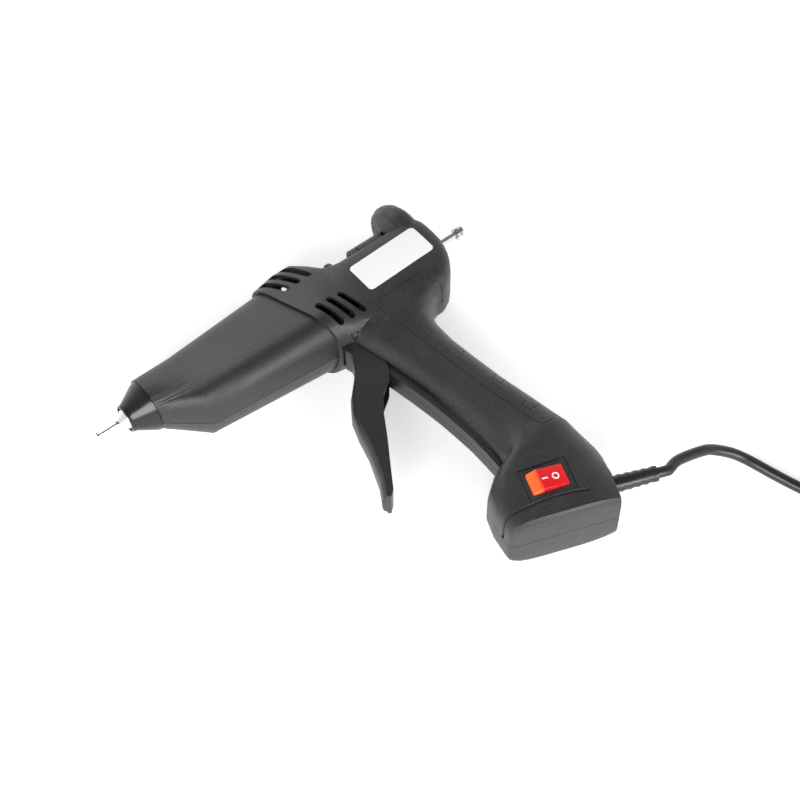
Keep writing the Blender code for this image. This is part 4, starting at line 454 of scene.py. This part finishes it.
def dress(nodes, finish):
    """Give CAD nodes their finish."""
    for node in nodes:
        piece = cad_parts[node]
        piece.data.materials.clear()
        piece.data.materials.append(finish.look)




def smoothed(node, name, finish, body):
    """A CAD node's own shape, with its facets shaded as the one smooth face that they are."""
    made = settle(copy_of(node, name), FACET_ANGLE)
    made.data.materials.clear()
    made.data.materials.append(finish.look)
    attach(made, body)
    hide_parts(node)


smoothed("right_housing", "right_housing_shell", nylon, "gun")
smoothed("left_barrel_cover", "left_barrel_shell", nylon, "gun")
smoothed("right_barrel_cover", "right_barrel_shell", nylon, "gun")
dress(("switch_body",), nylon)

# A blank white label with round corners sits on the left flank above the grip. It is a thin
# plastic film with a satin face, stuck down so that it follows the flank's curve.
LABEL_SPOT = (0.1577, -0.0134)
LABEL_SIZE = (0.0426, 0.0183)
LABEL_TURN = math.radians(2.7)
LABEL_ROUND = 0.0022
LABEL_CUTS = 26
LABEL_LIFT = 0.00008
LABEL_THICK = 0.00010
LABEL_CORNER_STEPS = 6
LABEL_COLUMNS = 6
LABEL_DROP = 0.05
LABEL_WHITE = (0.86, 0.86, 0.86, 1.0)
LABEL_BRIGHT = (0.90, 0.90, 0.89, 1.0)
LABEL_MOTTLE = 300.0
LABEL_SMEARS = 120.0
LABEL_ROUGH = 0.30
LABEL_ROUGH_SPREAD = 0.08

bpy.ops.object.select_all(action="DESELECT")
bpy.ops.mesh.primitive_plane_add(size=1.0, location=(0.0, 0.0, 0.0))
label = bpy.context.object
label.name = "blank_label"
label.data.transform(Matrix.Diagonal((*LABEL_SIZE, 1.0, 1.0)))
bpy.ops.object.mode_set(mode="EDIT")
bpy.ops.mesh.select_all(action="SELECT")
bpy.ops.mesh.bevel(offset=LABEL_ROUND, segments=LABEL_CORNER_STEPS, affect="VERTICES")
for i in range(1, LABEL_CUTS):
    bpy.ops.mesh.select_all(action="SELECT")
    bpy.ops.mesh.bisect(plane_co=(0.0, LABEL_SIZE[1] * (i / LABEL_CUTS - 0.5), 0.0),
                        plane_no=(0.0, 1.0, 0.0))
for i in range(1, LABEL_COLUMNS):
    bpy.ops.mesh.select_all(action="SELECT")
    bpy.ops.mesh.bisect(plane_co=(LABEL_SIZE[0] * (i / LABEL_COLUMNS - 0.5), 0.0, 0.0),
                        plane_no=(1.0, 0.0, 0.0))
bpy.ops.object.mode_set(mode="OBJECT")
label.data.transform(Matrix.Translation(at(*LABEL_SPOT, LABEL_DROP))
                     @ Matrix.Rotation(LABEL_TURN, 4, "Z"))
wrap = label.modifiers.new("wrap", "SHRINKWRAP")
wrap.wrap_method = "PROJECT"
wrap.use_project_z = True
wrap.use_negative_direction = True
wrap.use_positive_direction = False
wrap.target = left
wrap.offset = LABEL_LIFT
film = label.modifiers.new("film", "SOLIDIFY")
film.thickness = LABEL_THICK
film.offset = 1.0
settle(label)
paper = Finish("label_film")
paper.set("Base Color", paper.mix(paper.noise(LABEL_MOTTLE), LABEL_WHITE, LABEL_BRIGHT))
paper.set("Roughness", paper.noise(LABEL_SMEARS) * LABEL_ROUGH_SPREAD + LABEL_ROUGH)
label.data.materials.append(paper.look)
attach(label, "gun")

# The trigger is moulded from the same nylon as the housing and swings on a steel pin. Its face
# is smoother than the housing's, and polished a little by the fingers.
TRIGGER_DARK = (0.010, 0.010, 0.011, 1.0)
TRIGGER_LIGHT = (0.022, 0.022, 0.023, 1.0)
TRIGGER_ROUGH = 0.34
TRIGGER_GRAIN = 0.12

smooth_nylon = moulded("trigger_black", TRIGGER_DARK, TRIGGER_LIGHT, TRIGGER_ROUGH,
                       TRIGGER_GRAIN)
smoothed("trigger", "two_finger_trigger", smooth_nylon, "trigger")

# The boot is a moulded cone of glossy black rubber. It is pressed into the barrel's mouth and
# keeps fingers off the hot root of the nozzle.
BOOT_DARK = (0.006, 0.006, 0.006, 1.0)
BOOT_LIGHT = (0.014, 0.014, 0.014, 1.0)
BOOT_MOTTLE = 180.0
BOOT_SMEARS = 90.0
BOOT_ROUGH = 0.16
BOOT_ROUGH_SPREAD = 0.10
BOOT_GRAIN = 500.0
BOOT_GRAIN_STRENGTH = 0.05
BOOT_GRAIN_HEIGHT = 0.0001

rubber = Finish("boot_rubber")
rubber.set("Base Color", rubber.mix(rubber.noise(BOOT_MOTTLE), BOOT_DARK, BOOT_LIGHT))
rubber.set("Roughness", rubber.noise(BOOT_SMEARS) * BOOT_ROUGH_SPREAD + BOOT_ROUGH)
rubber.bump(rubber.noise(BOOT_GRAIN), BOOT_GRAIN_STRENGTH, BOOT_GRAIN_HEIGHT)
smoothed("nozzle_boot", "rubber_boot", rubber, "gun")

# The nozzle and its fine tube are turned steel, and the rod, pins and nuts are plated steel. The
# screws and springs are zinc-plated and the heater is cast. The carriage and its gripper are
# near-black steel, painted shade for their place deep in the housing. Each has faint turning
# lines and smears.
METAL_SMEARS = 240.0
METAL_ROUGH_SPREAD = 0.12
METAL_LINES = 1800.0
METAL_LINE_STRENGTH = 0.08
METAL_LINE_HEIGHT = 0.00005
STEEL_LOW = (0.62, 0.61, 0.59, 1.0)
STEEL_HIGH = (0.80, 0.79, 0.77, 1.0)
STEEL_ROUGH = 0.12
ZINC_LOW = (0.42, 0.42, 0.42, 1.0)
ZINC_HIGH = (0.56, 0.56, 0.55, 1.0)
ZINC_ROUGH = 0.30
CAST_LOW = (0.48, 0.48, 0.49, 1.0)
CAST_HIGH = (0.62, 0.62, 0.63, 1.0)
CAST_ROUGH = 0.42
# Painted shade: near-black steel for the carriage and gripper, standing in for the shade inside
# the housing.
PAINTED_SHADE_LOW = (0.030, 0.030, 0.031, 1.0)
PAINTED_SHADE_HIGH = (0.060, 0.060, 0.061, 1.0)
INNER_STEEL_ROUGH = 0.34


def metal(name, low, high, rough):
    """Bare metal with faint turning lines and smears."""
    made = Finish(name)
    smear = made.noise(METAL_SMEARS, 3.0)
    made.set("Base Color", made.mix(smear, low, high))
    made.set("Metallic", 1.0)
    made.set("Roughness", smear * METAL_ROUGH_SPREAD + rough)
    made.bump(made.noise(METAL_LINES), METAL_LINE_STRENGTH, METAL_LINE_HEIGHT)
    return made


steel = metal("bright_steel", STEEL_LOW, STEEL_HIGH, STEEL_ROUGH)
zinc = metal("zinc_steel", ZINC_LOW, ZINC_HIGH, ZINC_ROUGH)
cast = metal("cast_aluminium", CAST_LOW, CAST_HIGH, CAST_ROUGH)
dress(("nozzle", "nozzle_tube", "trigger_pin", "link_pin", "gripper_pin", "stroke_rod",
       "stroke_nut", "rod_cap", "left_plug_pin", "right_plug_pin"), steel)
# Painted shade: the carriage and gripper are coloured near black for the shade inside the
# housing.
shaded_steel = metal("steel_painted_shade", PAINTED_SHADE_LOW, PAINTED_SHADE_HIGH, INNER_STEEL_ROUGH)
dress(("stick_gripper",), shaded_steel)
dress(("feed_carriage",), shaded_steel)
dress([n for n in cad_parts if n.endswith("_screw")]
      + ["trigger_spring", "heating_element"], zinc)
dress(("heater_block",), cast)

# Inside are the silicone inlet sleeve, the pressed fibre insulators and the fuse. The sleeve and
# the insulators are pale, but they and the fuse are coloured dark, as painted shade for the
# inside of the housing. The rod's bush, the terminal block and the cord's clamp are pale nylon,
# and the strain relief is PVC.
MOTTLE_COUNT = 400.0
MOTTLE_ROUGH = 0.1
MOTTLE_STRENGTH = 0.1
MOTTLE_HEIGHT = 0.0001
# Painted shade: the pale silicone sleeve is coloured dark grey for the shade inside the housing.
SILICONE_SHADE_LOW = (0.060, 0.058, 0.055, 1.0)
SILICONE_SHADE_HIGH = (0.10, 0.097, 0.092, 1.0)
SILICONE_ROUGH = 0.55
# Painted shade: the pale fibre boards are coloured dark brown for the shade inside the housing.
FIBRE_SHADE_LOW = (0.10, 0.095, 0.085, 1.0)
FIBRE_SHADE_HIGH = (0.16, 0.15, 0.13, 1.0)
FIBRE_ROUGH = 0.80
PALE_LOW = (0.70, 0.70, 0.66, 1.0)
PALE_HIGH = (0.80, 0.80, 0.76, 1.0)
PALE_ROUGH = 0.45


def plain(name, low, high, rough):
    """A plain matt finish with a faint mottle."""
    made = Finish(name)
    mottle = made.noise(MOTTLE_COUNT, 3.0)
    made.set("Base Color", made.mix(mottle, low, high))
    made.set("Roughness", mottle * MOTTLE_ROUGH + rough)
    made.bump(mottle, MOTTLE_STRENGTH, MOTTLE_HEIGHT)
    return made


# Painted shade: the sleeve, the insulators and the fuse take dark colours for the shade inside
# the housing.
shaded_silicone = plain("inlet_silicone", SILICONE_SHADE_LOW, SILICONE_SHADE_HIGH, SILICONE_ROUGH)
shaded_fibre = plain("insulator_board", FIBRE_SHADE_LOW, FIBRE_SHADE_HIGH, FIBRE_ROUGH)
pale = plain("white_nylon", PALE_LOW, PALE_HIGH, PALE_ROUGH)
dress(("inlet_sleeve",), shaded_silicone)
dress(("front_insulator", "rear_insulator", "thermal_fuse"), shaded_fibre)
dress(("rod_bush", "terminal_block", "cord_clamp", "clamp_saddle"), pale)
dress(("cord_tail", "plug", "cord_tie"), pvc)
smoothed("strain_relief", "relief_sleeve", pvc, "gun")

# The rocker is clear red plastic. Its glow is painted light, as though it were lit from inside,
# and a painted highlight makes it brighter and more orange towards its raised toe. It rocks on a
# pin in the switch's body, and its edges are softly rounded.
SWITCH_CENTRE = (0.1370, -0.1636)
SWITCH_TURN = math.radians(-17.6)
ROCKER_EDGE = 0.00030
ROCKER_EDGE_STEPS = 3
# Painted highlight: the span towards the raised toe over which the red turns brighter and orange.
TOE_HIGHLIGHT_START = 0.0036
TOE_HIGHLIGHT_END = 0.0055
RED_DEEP = (0.40, 0.004, 0.008, 1.0)
RED_TOE_HIGHLIGHT = (0.70, 0.06, 0.01, 1.0)
# Painted glow: the rocker shines as though lit from inside, though no lamp lights it.
PAINTED_GLOW_DEEP = (0.50, 0.006, 0.012, 1.0)
PAINTED_GLOW_TOE = (1.0, 0.16, 0.03, 1.0)
PAINTED_GLOW_STRENGTH = 0.62
ROCKER_SMEARS = 300.0
ROCKER_ROUGH = 0.12
ROCKER_ROUGH_SPREAD = 0.05

rocker = copy_of("switch_rocker", "rocker_painted_glow")
edges = rocker.modifiers.new("edges", "BEVEL")
edges.width = ROCKER_EDGE
edges.segments = ROCKER_EDGE_STEPS
edges.limit_method = "ANGLE"
settle(rocker)
red = Finish("rocker_red")
switch_way = (math.cos(SWITCH_TURN), math.sin(SWITCH_TURN), 0.0)
along = red.node("ShaderNodeVectorMath", {"operation": "DOT_PRODUCT"}, red.place, switch_way,
                 out="Value")
middle = at(*SWITCH_CENTRE).dot(Vector(switch_way))
# Painted highlight and painted glow, both growing stronger towards the raised toe.
toe_highlight = red.ramp(along, middle - TOE_HIGHLIGHT_START, middle - TOE_HIGHLIGHT_END)
red.set("Base Color", red.mix(toe_highlight, RED_DEEP, RED_TOE_HIGHLIGHT))
# Painted glow, with no lamp behind it.
red.set("Emission Color", red.mix(toe_highlight, PAINTED_GLOW_DEEP, PAINTED_GLOW_TOE))
red.set("Emission Strength", PAINTED_GLOW_STRENGTH)
red.set("Roughness", red.noise(ROCKER_SMEARS) * ROCKER_ROUGH_SPREAD + ROCKER_ROUGH)
rocker.data.materials.append(red.look)
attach(rocker, "rocker")
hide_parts("switch_rocker")

# The bar and the ring on the rocker are white plastic, moulded into the long slope so that they
# stand a little proud of it. The bar marks on and the ring marks off.
MARK_HEIGHT = 0.05
BAR_ENDS = (-0.0031, -0.0002)
RING_MIDDLE = 0.0040
RING_RADIUS = 0.00150
MARK_RADIUS = 0.00036
MARK_SIDES = 3
RING_POINTS = 28
MARK_LOW = (0.80, 0.78, 0.78, 1.0)
MARK_HIGH = (0.88, 0.86, 0.86, 1.0)
MARK_ROUGH = 0.30
MARK_SMOOTH = math.radians(40.0)

slope = BVHTree.FromObject(rocker, bpy.context.evaluated_depsgraph_get())
turned = Matrix.Rotation(SWITCH_TURN, 3, "Z")


def on_slope(along, across):
    """A place on the rocker's face, by its run along and across the switch."""
    spot = at(*SWITCH_CENTRE, MARK_HEIGHT) + turned @ Vector((along, across, 0.0))
    return slope.ray_cast(spot, Vector((0.0, 0.0, -1.0)))[0]


mark_white = plain("mark_white", MARK_LOW, MARK_HIGH, MARK_ROUGH)
bar = line_curve("on_bar", [on_slope(spot, 0.0) for spot in BAR_ENDS], MARK_RADIUS, MARK_SIDES)
ring_line = []
for i in range(RING_POINTS):
    angle = math.tau * i / RING_POINTS
    ring_line.append(on_slope(RING_MIDDLE + RING_RADIUS * math.cos(angle),
                              RING_RADIUS * math.sin(angle)))
ring = line_curve("off_ring", ring_line, MARK_RADIUS, MARK_SIDES, closed=True)
for mark in (bar, ring):
    only(mark)
    bpy.ops.object.convert(target="MESH")
    bpy.ops.object.shade_smooth_by_angle(angle=MARK_SMOOTH)
    mark.data.materials.append(mark_white.look)
    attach(mark, "rocker")
